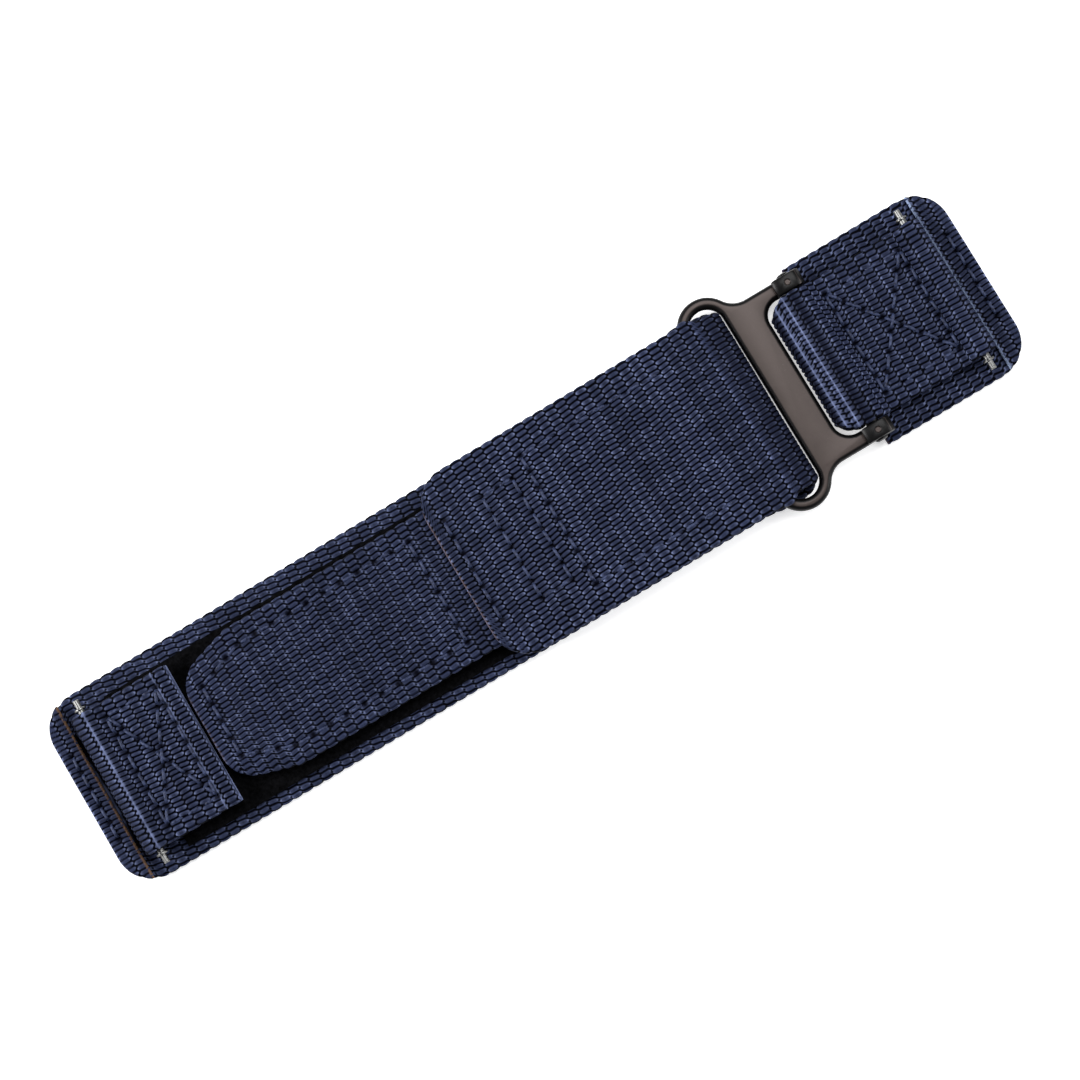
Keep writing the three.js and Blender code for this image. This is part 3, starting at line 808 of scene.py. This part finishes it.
pad_low, pad_high = box_mm("short_pad_webbing")
base_low, base_high = box_mm("base_webbing")
tail_low, tail_high = box_mm("tail_webbing")
tongue_low, tongue_high = box_mm("tongue_webbing")
root_high = box_mm("tongue_root_webbing")[1]
lug_high = box_mm("left_lug_loop")[1]
loop_low, loop_high = box_mm("short_loop_webbing")
patch_low, patch_high = box_mm("left_end_patch")
right_patch_low, right_patch_high = box_mm("right_end_patch")
pile_low, pile_high = box_mm("loop_pile_patch")
fold = joint_mm("tail_peel")
tongue_bend = joint_mm("tongue_peel")
pin = joint_mm("short_strap_swing")
left_bar = joint_mm("left_bar_spin")
right_bar = joint_mm("right_bar_spin")

WEB_THICK = pad_high.z - pad_low.z
NARROW_THICK = tongue_high.z - tongue_low.z
WEB_HALF = base_high.y
LAYER_GAP = patch_low.z - WEB_THICK


def seams_of():
    """Needle holes of every seam, by the CAD node that stands for it."""
    rows = {
        "left_end_stitching": cross_row("left_end_stitching"),
        "left_lug_stitching": boxed("left_lug_stitching", True),
        "tail_end_stitching": cross_row("tail_end_stitching"),
        "tail_box_stitching": boxed("tail_box_stitching", False),
        "short_piece_stitching": boxed("short_piece_stitching", True),
        "right_end_stitching": cross_row("right_end_stitching"),
    }
    left, right, half = seam_box("tail_edge_stitching")
    rows["tail_edge_stitching"] = [
        hole_row((left, -half), (left, half)),
        hole_row((left, half), (right, half)),
        hole_row((left, -half), (right, -half)),
    ]
    left, right, half = seam_box("tongue_edge_stitching")
    tip = SEAM_TIP_SHARE * half
    shoulder = left + SEAM_SHOULDER
    rows["tongue_edge_stitching"] = [
        hole_row((left, -tip), (left, tip)),
        hole_row((left, tip), (shoulder, half)) + hole_row((shoulder, half), (right, half))[1:],
        hole_row((left, -tip), (shoulder, -half)) + hole_row((shoulder, -half), (right, -half))[1:],
        hole_row((right, -half), (right, half)),
    ]
    return rows


seams = seams_of()


def ring_end():
    """The middle of the ring's round end at +Y."""
    low, high = box_mm("buckle_frame")
    return low.x + RING_END_R, high.y - RING_END_R


def long_strap():
    """The wide webbing: along the underside, round the buckle's ring bar, and back as the tail."""
    middle = WEB_THICK / 2
    radius = fold.z - middle
    fold_x = fold.x + FOLD_OUT
    line = Line(base_low.x, middle).to(fold_x, middle).arc(fold_x, fold.z, radius, -90, 90)
    line.to(tail_low.x, 2 * fold.z - middle)
    s_line, p_line, _ = line.measured()
    length = s_line[-1]
    flat = fold_x - base_low.x
    halfway = flat + math.pi * radius / 2
    ring_x, ring_y = ring_end()

    def width(s):
        rounded = corner_width(WEB_HALF, CORNER, CORNER, length)(s)
        x = np.interp(s, s_line, p_line[:, 0])
        spread = np.clip((x - ring_x + SPREAD_FROM) / SPREAD_LENGTH, 0, 1)
        narrow = np.clip((x - ring_x + SLOT_R) / NARROWING, 0, 1) * (s > halfway)
        room = ring_y + np.sqrt(SLOT_R ** 2 - np.clip(x - ring_x + ROOM, 0, SLOT_R) ** 2) - ROOM
        return np.minimum(rounded + SPREAD * spread - (SPREAD + PINCH) * narrow, room)

    on_tail = seams["tail_end_stitching"] + seams["tail_box_stitching"] + seams["tail_edge_stitching"]
    # Painted shade over the fold round the ring bar.
    piece = webbing("long_webbing", line, WEB_HALF, WEB_THICK, corners=(CORNER, CORNER), width_at=width,
                    fine=[(flat - 3, length)], back_fine=8.6, seams=on_tail, scorch_and_glint=(0.3, 0.5),
                    shaded=[(flat + 1, flat + math.pi * radius + 1.6, 0.55)])
    finish_piece(piece, None, "navy_webbing", webbing_material, "base_webbing", "tail_webbing")
    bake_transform(piece)


def end_patch(name, node, body, outer_x, inner_x, low_z, side, material):
    """A layer sewn on one end of the band: round corners at its outer end, and a heat-cut inner end."""
    middle = low_z + NARROW_THICK / 2
    line = Line(outer_x, middle).to(inner_x, middle)
    rows = seams[node.replace("patch", "stitching")]
    piece = webbing(name, line, WEB_HALF, NARROW_THICK, side=side, corners=(CORNER, 0),
                    back_fine=WEB_HALF, seams=rows, scorch_and_glint=(0, 1.0))
    finish_piece(piece, body, "navy_webbing", material, node)


def end_patches():
    end_patch("left_end_layer", "left_end_patch", "long_strap", patch_low.x, patch_high.x, patch_low.z, -1,
              webbing_material)
    # The right patch's cut end gets a pale painted highlight.
    end_patch("right_end_layer", "right_end_patch", "short_strap", right_patch_high.x, right_patch_low.x,
              right_patch_low.z, 1, shared(webbing_material, PALE_EDGE_GLINT))


def left_loop():
    """Doubled narrow webbing: over the base, up onto the pile tape, and round the left spring bar."""
    half = lug_high.y
    low_z = pile_high.z + LAYER_GAP + NARROW_THICK / 2
    high_z = low_z + NARROW_THICK + LAYER_GAP
    step_z = patch_low.z + NARROW_THICK / 2
    radius = left_bar.z - step_z
    leave = math.radians(LEAVE_BAR)
    leave_x = left_bar.x + radius * math.cos(leave)
    leave_z = left_bar.z + radius * math.sin(leave)
    line = Line(lug_high.x, low_z).to(pile_low.x - 0.3, low_z)
    line.curve((pile_low.x - 1.1, low_z), (pile_low.x - 1.2, step_z), (left_bar.x + 1.2, step_z))
    line.to(left_bar.x, step_z).arc(left_bar.x, left_bar.z, radius, -90, LEAVE_BAR - 360)
    line.curve((leave_x + 0.4, leave_z - 0.23), (leave_x + 0.9, high_z), (leave_x + 1.6, high_z))
    line.to(lug_high.x, high_z)
    s_line, p_line, _ = line.measured()
    length = s_line[-1]
    turn = s_line[np.argmin(p_line[:, 0])]
    # Painted highlight along the two creases; painted shade on the bight's flank and on two bands beside the
    # seam.
    piece = webbing("left_loop_webbing", line, half, NARROW_THICK, side=-1, fine=[(10, length)],
                    seams=seams["left_lug_stitching"], creases=(turn + 2.6, length - 2.1),
                    shaded=[(turn - 3, turn + 1.5, 0.8), (length - 7.2, length - 5.6, 0.5),
                            (length - 11.0, length - 9.4, 0.5)])
    finish_piece(piece, "long_strap", "navy_webbing", webbing_material, "left_lug_loop")


def tongue_width(half, length):
    """Half the tongue's width: a blunt tip with round corners, two slanted shoulders, then parallel sides."""
    def width(s):
        away = length - s
        slant = half * (TIP_SHARE + (1 - TIP_SHARE) * np.clip(away / SHOULDER, 0, 1))
        near = np.clip(TIP_CORNER - away, 0, TIP_CORNER)
        return slant - TIP_CORNER + np.sqrt(TIP_CORNER ** 2 - near ** 2)
    return width


def tongue():
    half = tongue_high.y
    middle = (tongue_low.z + tongue_high.z) / 2
    line = Line(root_high.x, middle).to(tongue_low.x, middle)
    length = line.measured()[0][-1]
    piece = webbing("tongue_cloth", line, half, NARROW_THICK, corners=(0, TIP_CORNER),
                    width_at=tongue_width(half, length), fine=[(root_high.x - tongue_high.x - 3, length)],
                    back_fine=8.0, seams=seams["tongue_edge_stitching"], scorch_and_glint=(0, 0.35), phase=0.6)
    finish_piece(piece, None, "navy_webbing", webbing_material, "tongue_webbing", "tongue_root_webbing")
    bend_with_tongue(piece)


def bend_with_tongue(piece):
    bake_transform(piece)


def short_pad():
    middle = WEB_THICK / 2
    line = Line(pad_low.x, middle).to(pad_high.x, middle)
    length = line.measured()[0][-1]
    piece = webbing("short_pad", line, WEB_HALF, WEB_THICK, side=-1, corners=(0, CORNER), back_fine=0,
                    scorch_and_glint=(0.3, 0), phase=0.9)
    finish_piece(piece, "short_strap", "navy_webbing", webbing_material, "short_pad_webbing")


def open_slot():
    """Where the flat bar ends and the open slot starts in X, and half the width between the arms."""
    return ring_end()[0] + BAR_WIDTH, box_mm("buckle_pin")[1].y - PIN_PROUD - ARM_WIDTH


def short_loop():
    """Narrow webbing round the buckle's pin and back round the right spring bar."""
    half = loop_high.y
    low_z = loop_low.z + NARROW_THICK / 2
    high_z = low_z + NARROW_THICK + LAYER_GAP
    pin_r = pin.z - low_z
    bar_r = right_bar.z - low_z
    slack_x = loop_low.x - BIGHT_OUT + pin_r + NARROW_THICK / 2
    meet = (pin.x + right_bar.x) / 2
    leave = math.radians(LEAVE_PIN)
    leave_x = pin.x + pin_r * math.cos(leave)
    leave_z = pin.z + pin_r * math.sin(leave)
    join = math.radians(JOIN_BAR)
    join_x = right_bar.x + bar_r * math.cos(join)
    join_z = right_bar.z + bar_r * math.sin(join)
    line = Line(meet - ENDS_GAP / 2, low_z).to(slack_x, low_z).arc(slack_x, pin.z, pin_r, -90, -270)
    line.to(pin.x, pin.z + pin_r).arc(pin.x, pin.z, pin_r, 90, LEAVE_PIN)
    line.curve((leave_x + 0.6, leave_z - 0.5), (leave_x + 1.2, high_z), (leave_x + 2.2, high_z))
    line.to(join_x - 1.6, high_z)
    line.curve((join_x - 0.9, high_z), (join_x - 0.5, join_z - 0.29), (join_x, join_z))
    line.arc(right_bar.x, right_bar.z, bar_r, JOIN_BAR, -90).to(meet + ENDS_GAP / 2, low_z)
    s, points, _ = line.measured()
    length = s[-1]
    turn = s[np.argmin(points[:, 0])]
    bar_right, inner_y = open_slot()
    reach = np.hypot(points[:, 0] - pin.x, points[:, 1] - pin.z) + NARROW_THICK / 2
    into_corner = np.clip(OPEN_SLOT_R + reach - (pin.x - bar_right), 0, OPEN_SLOT_R)
    room = inner_y - OPEN_SLOT_R + np.sqrt(OPEN_SLOT_R ** 2 - into_corner ** 2) - BIGHT_ROOM
    room = np.where(points[:, 0] < pin.x, room, half)

    def width(distance):
        return np.minimum(half, np.interp(distance, s, room))

    # Painted highlight along the two creases round the bight; painted shade on the bight's flank and on the
    # band before the seam.
    piece = webbing("short_loop", line, half, NARROW_THICK, side=-1, width_at=width, fine=[(7, length - 8)],
                    seams=seams["short_piece_stitching"], phase=0.3, creases=(turn + 1.7, turn + 2.9),
                    shaded=[(turn - 3, turn + 1.7, 0.85), (turn + 3.0, turn + 5.2, 0.6)])
    finish_piece(piece, "short_strap", "navy_webbing", webbing_material, "short_loop_webbing")


# ---------------------------------------------------------------- hook and loop tapes

def tape_slab(xs, halves, middle_y, low_z, high_z):
    """A tape's woven backing, as points and faces: a closed strip with a row of four corners at each x."""
    corners = [[(x, middle_y - half, low_z), (x, middle_y + half, low_z), (x, middle_y + half, high_z),
                (x, middle_y - half, high_z)] for x, half in zip(xs, halves)]
    quads, caps = tube(len(corners), 4)
    return np.array(corners, float).reshape(-1, 3), [*quads, *caps]


def curls(places, shape, wire, turns, sizes, sides=3):
    """Copies of a bent wire: shape holds points in a plane, as distance along and height."""
    steps = len(shape)
    angle = round_angles(sides)
    tangent = np.gradient(shape, axis=0)
    tangent /= np.linalg.norm(tangent, axis=1)[:, None]
    across = np.stack([-tangent[:, 1], tangent[:, 0]], 1)
    local = np.zeros((steps, sides, 3))
    local[:, :, 0] = shape[:, 0][:, None] + np.outer(across[:, 0], np.cos(angle)) * wire
    local[:, :, 2] = shape[:, 1][:, None] + np.outer(across[:, 1], np.cos(angle)) * wire
    local[:, :, 1] = np.sin(angle)[None, :] * wire
    local = local.reshape(-1, 3)
    c = np.cos(turns)[:, None]
    d = np.sin(turns)[:, None]
    size = sizes[:, None]
    x = local[None, :, 0] * size
    y = local[None, :, 1] + 0 * size
    points = np.stack([places[:, 0][:, None] + x * c - y * d, places[:, 1][:, None] + x * d + y * c,
                       places[:, 2][:, None] + local[None, :, 2] * size], -1)
    return points, *tube(steps, sides)


def join_copies(name, slab, copies):
    """One object of a slab and many copies of a curl."""
    slab_points, slab_faces = slab
    points, quads, caps = copies
    count, size = points.shape[:2]
    offsets = len(slab_points) + np.arange(count) * size
    all_quads = (quads[None] + offsets[:, None, None]).reshape(-1, 4)
    extra = slab_faces + [cap + offset for offset in offsets for cap in caps]
    everything = np.concatenate([slab_points, points.reshape(-1, 3)])
    return mesh_object(name, everything, all_quads, extra=extra, smooth=False)


def pile_tape():
    """Loop tape: a backing with a tangle of fine loops on it."""
    rng = np.random.default_rng(RNG_SEED)
    low, high = pile_low.copy(), pile_high.copy()
    high.y += PILE_SHOWS
    top = high.z
    high.z = low.z + TAPE_THICK
    xs = np.arange(low.x + PILE_MARGIN, high.x - 0.3, PILE_SPACING)
    ys = np.arange(low.y + PILE_MARGIN, high.y - 0.3, PILE_SPACING)
    grid = np.stack(np.meshgrid(xs, ys), -1).reshape(-1, 2)
    grid += rng.uniform(-0.2, 0.2, grid.shape)
    places = np.column_stack([grid, np.full(len(grid), high.z - 0.05)])
    sweep = np.radians(np.linspace(-20, 200, 7))
    loop = np.stack([0.3 * np.cos(sweep), 0.26 + 0.26 * np.sin(sweep)], 1)
    sizes = rng.uniform(0.7, 0.95, len(grid)) * (top - high.z) / 0.55
    turns = rng.uniform(0, 2 * math.pi, len(grid))
    middle_y = (low.y + high.y) / 2
    half = high.y - middle_y
    backing = tape_slab((low.x, high.x), (half, half), middle_y, low.z, high.z)
    piece = join_copies("pile_tape", backing, curls(places, loop, PILE_WIRE, turns, sizes))
    finish_piece(piece, "long_strap", "black_pile", pile_material, "loop_pile_patch")


def hook_rows(name, low, high, outline, inside):
    """Hook tape facing down: a backing under the webbing with rows of small hooks below it. The outline
    holds x values, and half the tape's width at each."""
    backing_z = high.z - TAPE_THICK
    xs = np.arange(low.x + 0.6, high.x - 0.4, HOOK_SPACING_X)
    ys = np.arange(low.y + 0.5, high.y - 0.4, HOOK_SPACING_Y)
    grid = np.stack(np.meshgrid(xs, ys), -1).reshape(-1, 2)
    grid = grid[[inside(x, y) for x, y in grid]]
    reach = backing_z - low.z
    stem = [(0, 0.05), (0, -0.5 * reach), (0.06, -0.8 * reach), (0.2, -0.95 * reach), (0.33, -0.75 * reach),
            (0.36, -0.55 * reach)]
    places = np.column_stack([grid, np.full(len(grid), backing_z)])
    turns = np.where(np.arange(len(grid)) % 2, 0.0, math.pi)
    copies = curls(places, np.array(stem), HOOK_WIRE, turns, np.ones(len(grid)), 4)
    return join_copies(name, tape_slab(*outline, 0, backing_z, high.z), copies)


def tongue_hooks():
    low, high = box_mm("tongue_hook_patch")
    root = box_mm("tongue_root_hook_patch")[1]
    half = high.y
    width = tongue_width(half, root.x - low.x)
    near_tip = low.x + TIP_CORNER * (1 - np.cos(np.radians(np.arange(0, 90, 12))))
    xs = np.concatenate([near_tip, np.arange(near_tip[-1] + 0.5, root.x, 0.5), [root.x]])
    outline = (xs, width(root.x - xs))

    def inside(x, y):
        return abs(y) < width(np.array([root.x - x]))[0] - 0.45

    far = Vector((root.x, high.y, high.z))
    piece = hook_rows("tongue_hook_tape", low, far, outline, inside)
    face_outward(piece.data)
    finish_piece(piece, None, "black_hook", hook_material, "tongue_hook_patch", "tongue_root_hook_patch")
    bend_with_tongue(piece)


def tail_hooks():
    low, high = box_mm("tail_hook_patch")
    outline = ((low.x, high.x), (high.y, high.y))
    piece = hook_rows("tail_hook_tape", low, high, outline, lambda x, y: True)
    finish_piece(piece, "tail", "black_hook", hook_material, "tail_hook_patch")


# ---------------------------------------------------------------- metal

def turned(name, profile, centre, body, slot, material, node, sides=48, closed=False):
    """A turned piece along Y, from (distance along Y, radius) points. A closed profile makes a tube."""
    angles = round_angles(sides)
    rings = np.array([[(centre.x + r * math.cos(a), y, centre.z + r * math.sin(a)) for a in angles]
                      for y, r in profile])
    quads, caps = tube(len(profile), sides, closed=closed)
    made = mesh_object(name, rings.reshape(-1, 3), quads, extra=caps)
    face_outward(made.data)
    made.data.set_sharp_from_angle(angle=math.radians(32))
    finish_piece(made, body, slot, material, node)


def chamfered(steps, cut):
    """A turned profile whose outer corners are cut back a little."""
    made = []
    for number, (y, r) in enumerate(steps):
        before = steps[max(number - 1, 0)]
        after = steps[min(number + 1, len(steps) - 1)]
        if r > before[1] or r > after[1]:
            for other_y, other_r in [p for p in (before, after) if p != (y, r)]:
                share = min(cut / math.hypot(other_y - y, other_r - r), 0.4)
                made.append((y + (other_y - y) * share, r + (other_r - r) * share))
        else:
            made.append((y, r))
    return made


def spring_bar(side, centre, body, rear, front):
    tube_low, tube_high = box_mm(f"{side}_spring_bar_tube")
    outer = (tube_high.x - tube_low.x) / 2
    bore = outer * BORE_SHARE
    half = tube_high.y
    cut = TUBE_CUT
    wall = [(-half, bore + cut), (-half, outer - cut), (-half + cut, outer), (half - cut, outer),
            (half, outer - cut), (half, bore + cut), (half - cut, bore), (-half + cut, bore)]
    turned(f"{side}_bar_tube", wall, centre, body, "bar_steel", steel_material,
           f"{side}_spring_bar_tube", closed=True)
    for name, sign, rides in (("rear", 1, rear), ("front", -1, front)):
        node = f"{side}_spring_bar_tip_{name}"
        low, high = box_mm(node)
        collar = (high.x - low.x) / 2
        inner_y = min(abs(low.y), abs(high.y))
        outer_y = max(abs(low.y), abs(high.y))
        from_y = outer_y - COLLAR_FROM
        to_y = outer_y - COLLAR_TO
        steps = [(inner_y, 0.02), (inner_y, STEM_R), (from_y, STEM_R), (from_y, collar), (to_y, collar),
                 (to_y, POINT_R), (outer_y, POINT_R), (outer_y, 0.02)]
        profile = [(sign * y, r) for y, r in chamfered(steps, TIP_CUT)]
        turned(f"{side}_bar_tip_{name}", profile, centre, rides, "bar_steel", steel_material, node)


def curve_outline(splines, z, thick, edge):
    """A plate with rounded edges from closed outlines, the first outside and the rest holes."""
    data = bpy.data.curves.new("plate", "CURVE")
    data.dimensions = "2D"
    data.fill_mode = "BOTH"
    data.extrude = (thick / 2 - edge) / MM
    data.bevel_depth = edge / MM
    data.bevel_resolution = 4
    data.offset = -edge / MM
    for outline in splines:
        spline = data.splines.new("POLY")
        spline.points.add(len(outline) - 1)
        for point, (x, y) in zip(spline.points, outline):
            point.co = (x / MM, y / MM, 0, 1)
        spline.use_cyclic_u = True
    made = bpy.data.objects.new("plate", data)
    made.location.z = z / MM
    bpy.context.scene.collection.objects.link(made)
    bpy.context.view_layer.update()
    shape = made.evaluated_get(bpy.context.evaluated_depsgraph_get())
    mesh = bpy.data.meshes.new_from_object(shape)
    mesh.transform(made.matrix_world)
    bpy.data.objects.remove(made)
    solid = bpy.data.objects.new("plate", mesh)
    bpy.context.scene.collection.objects.link(solid)
    weld(solid)
    return solid


def weld(piece):
    shape = bmesh.new()
    shape.from_mesh(piece.data)
    bmesh.ops.remove_doubles(shape, verts=shape.verts, dist=1e-6)
    bmesh.ops.recalc_face_normals(shape, faces=shape.faces)
    shape.to_mesh(piece.data)
    shape.free()


def arc_points(x, y, radius, start, end, step=4):
    count = max(2, int(abs(end - start) / step))
    return [(x + radius * math.cos(math.radians(a)), y + radius * math.sin(math.radians(a)))
            for a in np.linspace(start, end, count + 1)]


def buckle_outlines():
    """The buckle's plan: a ring for the long strap, a flat bar, and two arms round an open slot."""
    ring_x, ring_y = ring_end()
    bar_right, inner_y = open_slot()
    arm_y = inner_y + ARM_WIDTH
    neck_y = arm_y + NECK_R
    neck_x = ring_x + math.sqrt((RING_END_R + NECK_R) ** 2 - (neck_y - ring_y) ** 2)
    touch = math.degrees(math.atan2(neck_y - ring_y, neck_x - ring_x))
    upper = arc_points(neck_x, neck_y, NECK_R, -90, touch - 180)
    upper += arc_points(ring_x, ring_y, RING_END_R, touch, 180)[1:]
    corner = bar_right + OPEN_SLOT_R
    inner = [(pin.x, inner_y)] + arc_points(corner, inner_y - OPEN_SLOT_R, OPEN_SLOT_R, 90, 180)
    outline = [(pin.x, arm_y)] + upper + [(x, -y) for x, y in upper[::-1]] + [(pin.x, -arm_y)]
    outline += [(x, -y) for x, y in inner] + inner[::-1]
    slot = arc_points(ring_x, ring_y, SLOT_R, 0, 180) + arc_points(ring_x, -ring_y, SLOT_R, 180, 360)
    return outline, slot, (inner_y, arm_y)


def knuckle(low_y, high_y, high):
    """The raised end of an arm, round at its right end, with softened edges."""
    radius = (high.z - (pin.z - KNUCKLE_DOWN)) / 2
    left = pin.x - KNUCKLE_LEFT
    right = high.x
    z = pin.z
    profile = [(left, z - radius)] + arc_points(right - radius, z, radius, -90, 90)
    profile += [(left + 0.4, z + radius), (left, z + radius * 0.75)]
    middle_x = (left + right) / 2
    points = []
    rounds = [(0, KNUCKLE_EDGE), (KNUCKLE_EDGE * 0.3, KNUCKLE_EDGE * 0.3), (KNUCKLE_EDGE, 0)]
    layers = [(low_y + a, b) for a, b in rounds] + [(high_y - a, b) for a, b in rounds[::-1]]
    for y, inset in layers:
        for x, height in profile:
            toward_x = 1 - inset / (right - middle_x)
            toward_z = 1 - inset / radius
            points.append((middle_x + (x - middle_x) * toward_x, y, z + (height - z) * toward_z))
    quads, caps = tube(len(layers), len(profile))
    made = mesh_object("knuckle", np.array(points), quads, extra=caps)
    weld(made)
    return made


def combine(piece, other, operation):
    """Joins another solid to a piece, or cuts it away, and removes it."""
    modifier = piece.modifiers.new("join", "BOOLEAN")
    modifier.operation = operation
    modifier.object = other
    modifier.solver = "EXACT"
    shape = piece.evaluated_get(bpy.context.evaluated_depsgraph_get())
    mesh = bpy.data.meshes.new_from_object(shape)
    piece.modifiers.clear()
    piece.data = mesh
    bpy.data.objects.remove(other)


def round_cutter(top_radius, x, y, z, depth):
    """A short cone along Z, for a dimple: half as wide at its bottom as at its top."""
    sides = 32
    rings = [(top_radius / 2, z - depth), (top_radius, z + depth)]
    points = [(x + r * math.cos(a), y + r * math.sin(a), h) for r, h in rings for a in round_angles(sides)]
    quads, caps = tube(2, sides)
    made = mesh_object("dimple", np.array(points), quads, extra=caps)
    weld(made)
    return made


def buckle():
    low, high = box_mm("buckle_frame")
    outline, slot, (inner_y, arm_y) = buckle_outlines()
    plate_thick = 2 * (fold.z - low.z)
    frame_piece = curve_outline([outline, slot], fold.z, plate_thick, BUCKLE_EDGE)
    frame_piece.name = "slot_buckle"
    for low_y, high_y in ((inner_y, arm_y), (-arm_y, -inner_y)):
        combine(frame_piece, knuckle(low_y, high_y, high), "UNION")
        dimple = round_cutter(DIMPLE_R, pin.x, (low_y + high_y) / 2, high.z, DIMPLE_DEPTH)
        combine(frame_piece, dimple, "DIFFERENCE")
    frame_piece.data.polygons.foreach_set("use_smooth", [True] * len(frame_piece.data.polygons))
    frame_piece.data.set_sharp_from_angle(angle=math.radians(35))
    top = fold.z + plate_thick / 2
    # Which points get the painted reflection of the flat faces: the top, and the dimple's floor as a painted
    # highlight; the rest is painted black.
    heights = np.array([v.co.z * MM for v in frame_piece.data.vertices])
    dimple_floor = high.z - DIMPLE_DEPTH
    flat = (np.abs(heights - top) < 0.02) | (np.abs(heights - dimple_floor) < 0.02)
    point_values(frame_piece.data, "flat", flat)
    finish_piece(frame_piece, "buckle", "gunmetal", gunmetal_material, "buckle_frame")
    pin_low, pin_high = box_mm("buckle_pin")
    radius = (pin_high.x - pin_low.x) / 2
    half = pin_high.y
    profile = [(-half, radius * 0.6), (-half + 0.12, radius * 0.9), (-half + 0.3, radius)]
    profile += [(-y, r) for y, r in profile[::-1]]
    turned("buckle_pivot", profile, pin, "buckle", "gunmetal", gunmetal_material, "buckle_pin")


def springs():
    """The springs inside the bars keep their CAD shape."""
    for side in ("left", "right"):
        node = frame["nodes"][f"{side}_spring_bar_spring"]
        node.data.materials.clear()
        node.data.materials.append(shared(steel_material))


# ---------------------------------------------------------------- stage

def floor():
    half = 2.0
    corners = [(-half, -half, 0), (half, -half, 0), (half, half, 0), (-half, half, 0)]
    mesh = bpy.data.meshes.new("floor")
    mesh.from_pydata(corners, [], [(0, 1, 2, 3)])
    made = bpy.data.objects.new("floor", mesh)
    made.location.z = -0.0002
    bpy.context.scene.collection.objects.link(made)
    m = Shading("floor")
    material = m.done(Base_Color=(0.9, 0.9, 0.9, 1), Roughness=0.9, Emission_Color=(1, 1, 1, 1),
                      Emission_Strength=0.55)
    mesh.materials.append(material)


def softbox(name, place, watts):
    """A square soft light that looks at the band's middle."""
    data = bpy.data.lights.new(name, "AREA")
    data.size = SOFTBOX_SIZE
    data.energy = watts
    made = bpy.data.objects.new(name, data)
    made.location = place
    made.rotation_euler = (-Vector(place)).to_track_quat("-Z", "Y").to_euler()
    bpy.context.scene.collection.objects.link(made)


def lights():
    """A dim surround and three softboxes, of which the left one is the strongest. Places are in metres."""
    world = bpy.data.worlds.new("studio")
    world.use_nodes = True
    background = world.node_tree.nodes["Background"]
    background.inputs["Color"].default_value = (0.9, 0.93, 1.0, 1)
    background.inputs["Strength"].default_value = 0.12
    bpy.context.scene.world = world
    softbox("overhead", (0.16, 0.18, 0.55), 2.3)
    softbox("right", (0.5, -0.2, 0.33), 2.2)
    softbox("left", (-0.5, 0.25, 0.33), 5.0)


def camera():
    data = bpy.data.cameras.new("camera")
    data.sensor_width = 36
    data.lens = 36 * VIEW_DISTANCE / VIEW_WIDTH
    data.clip_start = 0.01
    data.clip_end = 5
    made = bpy.data.objects.new("camera", data)
    bpy.context.scene.collection.objects.link(made)
    turn = math.radians(VIEW_TURN)
    tilt = math.radians(VIEW_TILT)
    back = Vector((0, -math.sin(tilt), math.cos(tilt)))
    up = Vector((math.sin(turn), math.cos(turn), 0))
    right = up.cross(back).normalized()
    up = back.cross(right)
    target = Vector(VIEW_TARGET) / MM
    made.matrix_world = Matrix.Translation(target + back * VIEW_DISTANCE / MM) @ Matrix(
        (right, up, back)).transposed().to_4x4()
    bpy.context.scene.camera = made


# ---------------------------------------------------------------- the band

def sewing():
    surfaces = {
        "left_end_stitching": (patch_high.z, "long_strap"),
        "left_lug_stitching": (pile_high.z + 2 * (NARROW_THICK + LAYER_GAP), "long_strap"),
        "tail_end_stitching": (tail_high.z, "tail"),
        "tail_box_stitching": (tail_high.z, "tail"),
        "tail_edge_stitching": (tail_high.z, "tail"),
        "short_piece_stitching": (WEB_THICK + 2 * (NARROW_THICK + LAYER_GAP), "short_strap"),
        "right_end_stitching": (right_patch_high.z, "short_strap"),
    }
    for node, (surface, body) in surfaces.items():
        thread(node.replace("stitching", "stitches"), seams[node], surface, body, node)
    sewn = thread("tongue_edge_stitches", seams["tongue_edge_stitching"], tongue_high.z, None,
                  "tongue_edge_stitching")
    bend_with_tongue(sewn)


camera()
floor()
lights()
bpy.context.scene.view_settings.view_transform = "Standard"

long_strap()
end_patches()
left_loop()
tongue()
short_pad()
short_loop()
pile_tape()
tongue_hooks()
tail_hooks()
buckle()
springs()
spring_bar("left", left_bar, "left_spring_bar", "left_tip_rear", "left_tip_front")
spring_bar("right", right_bar, "right_spring_bar", "right_tip_rear", "right_tip_front")
sewing()
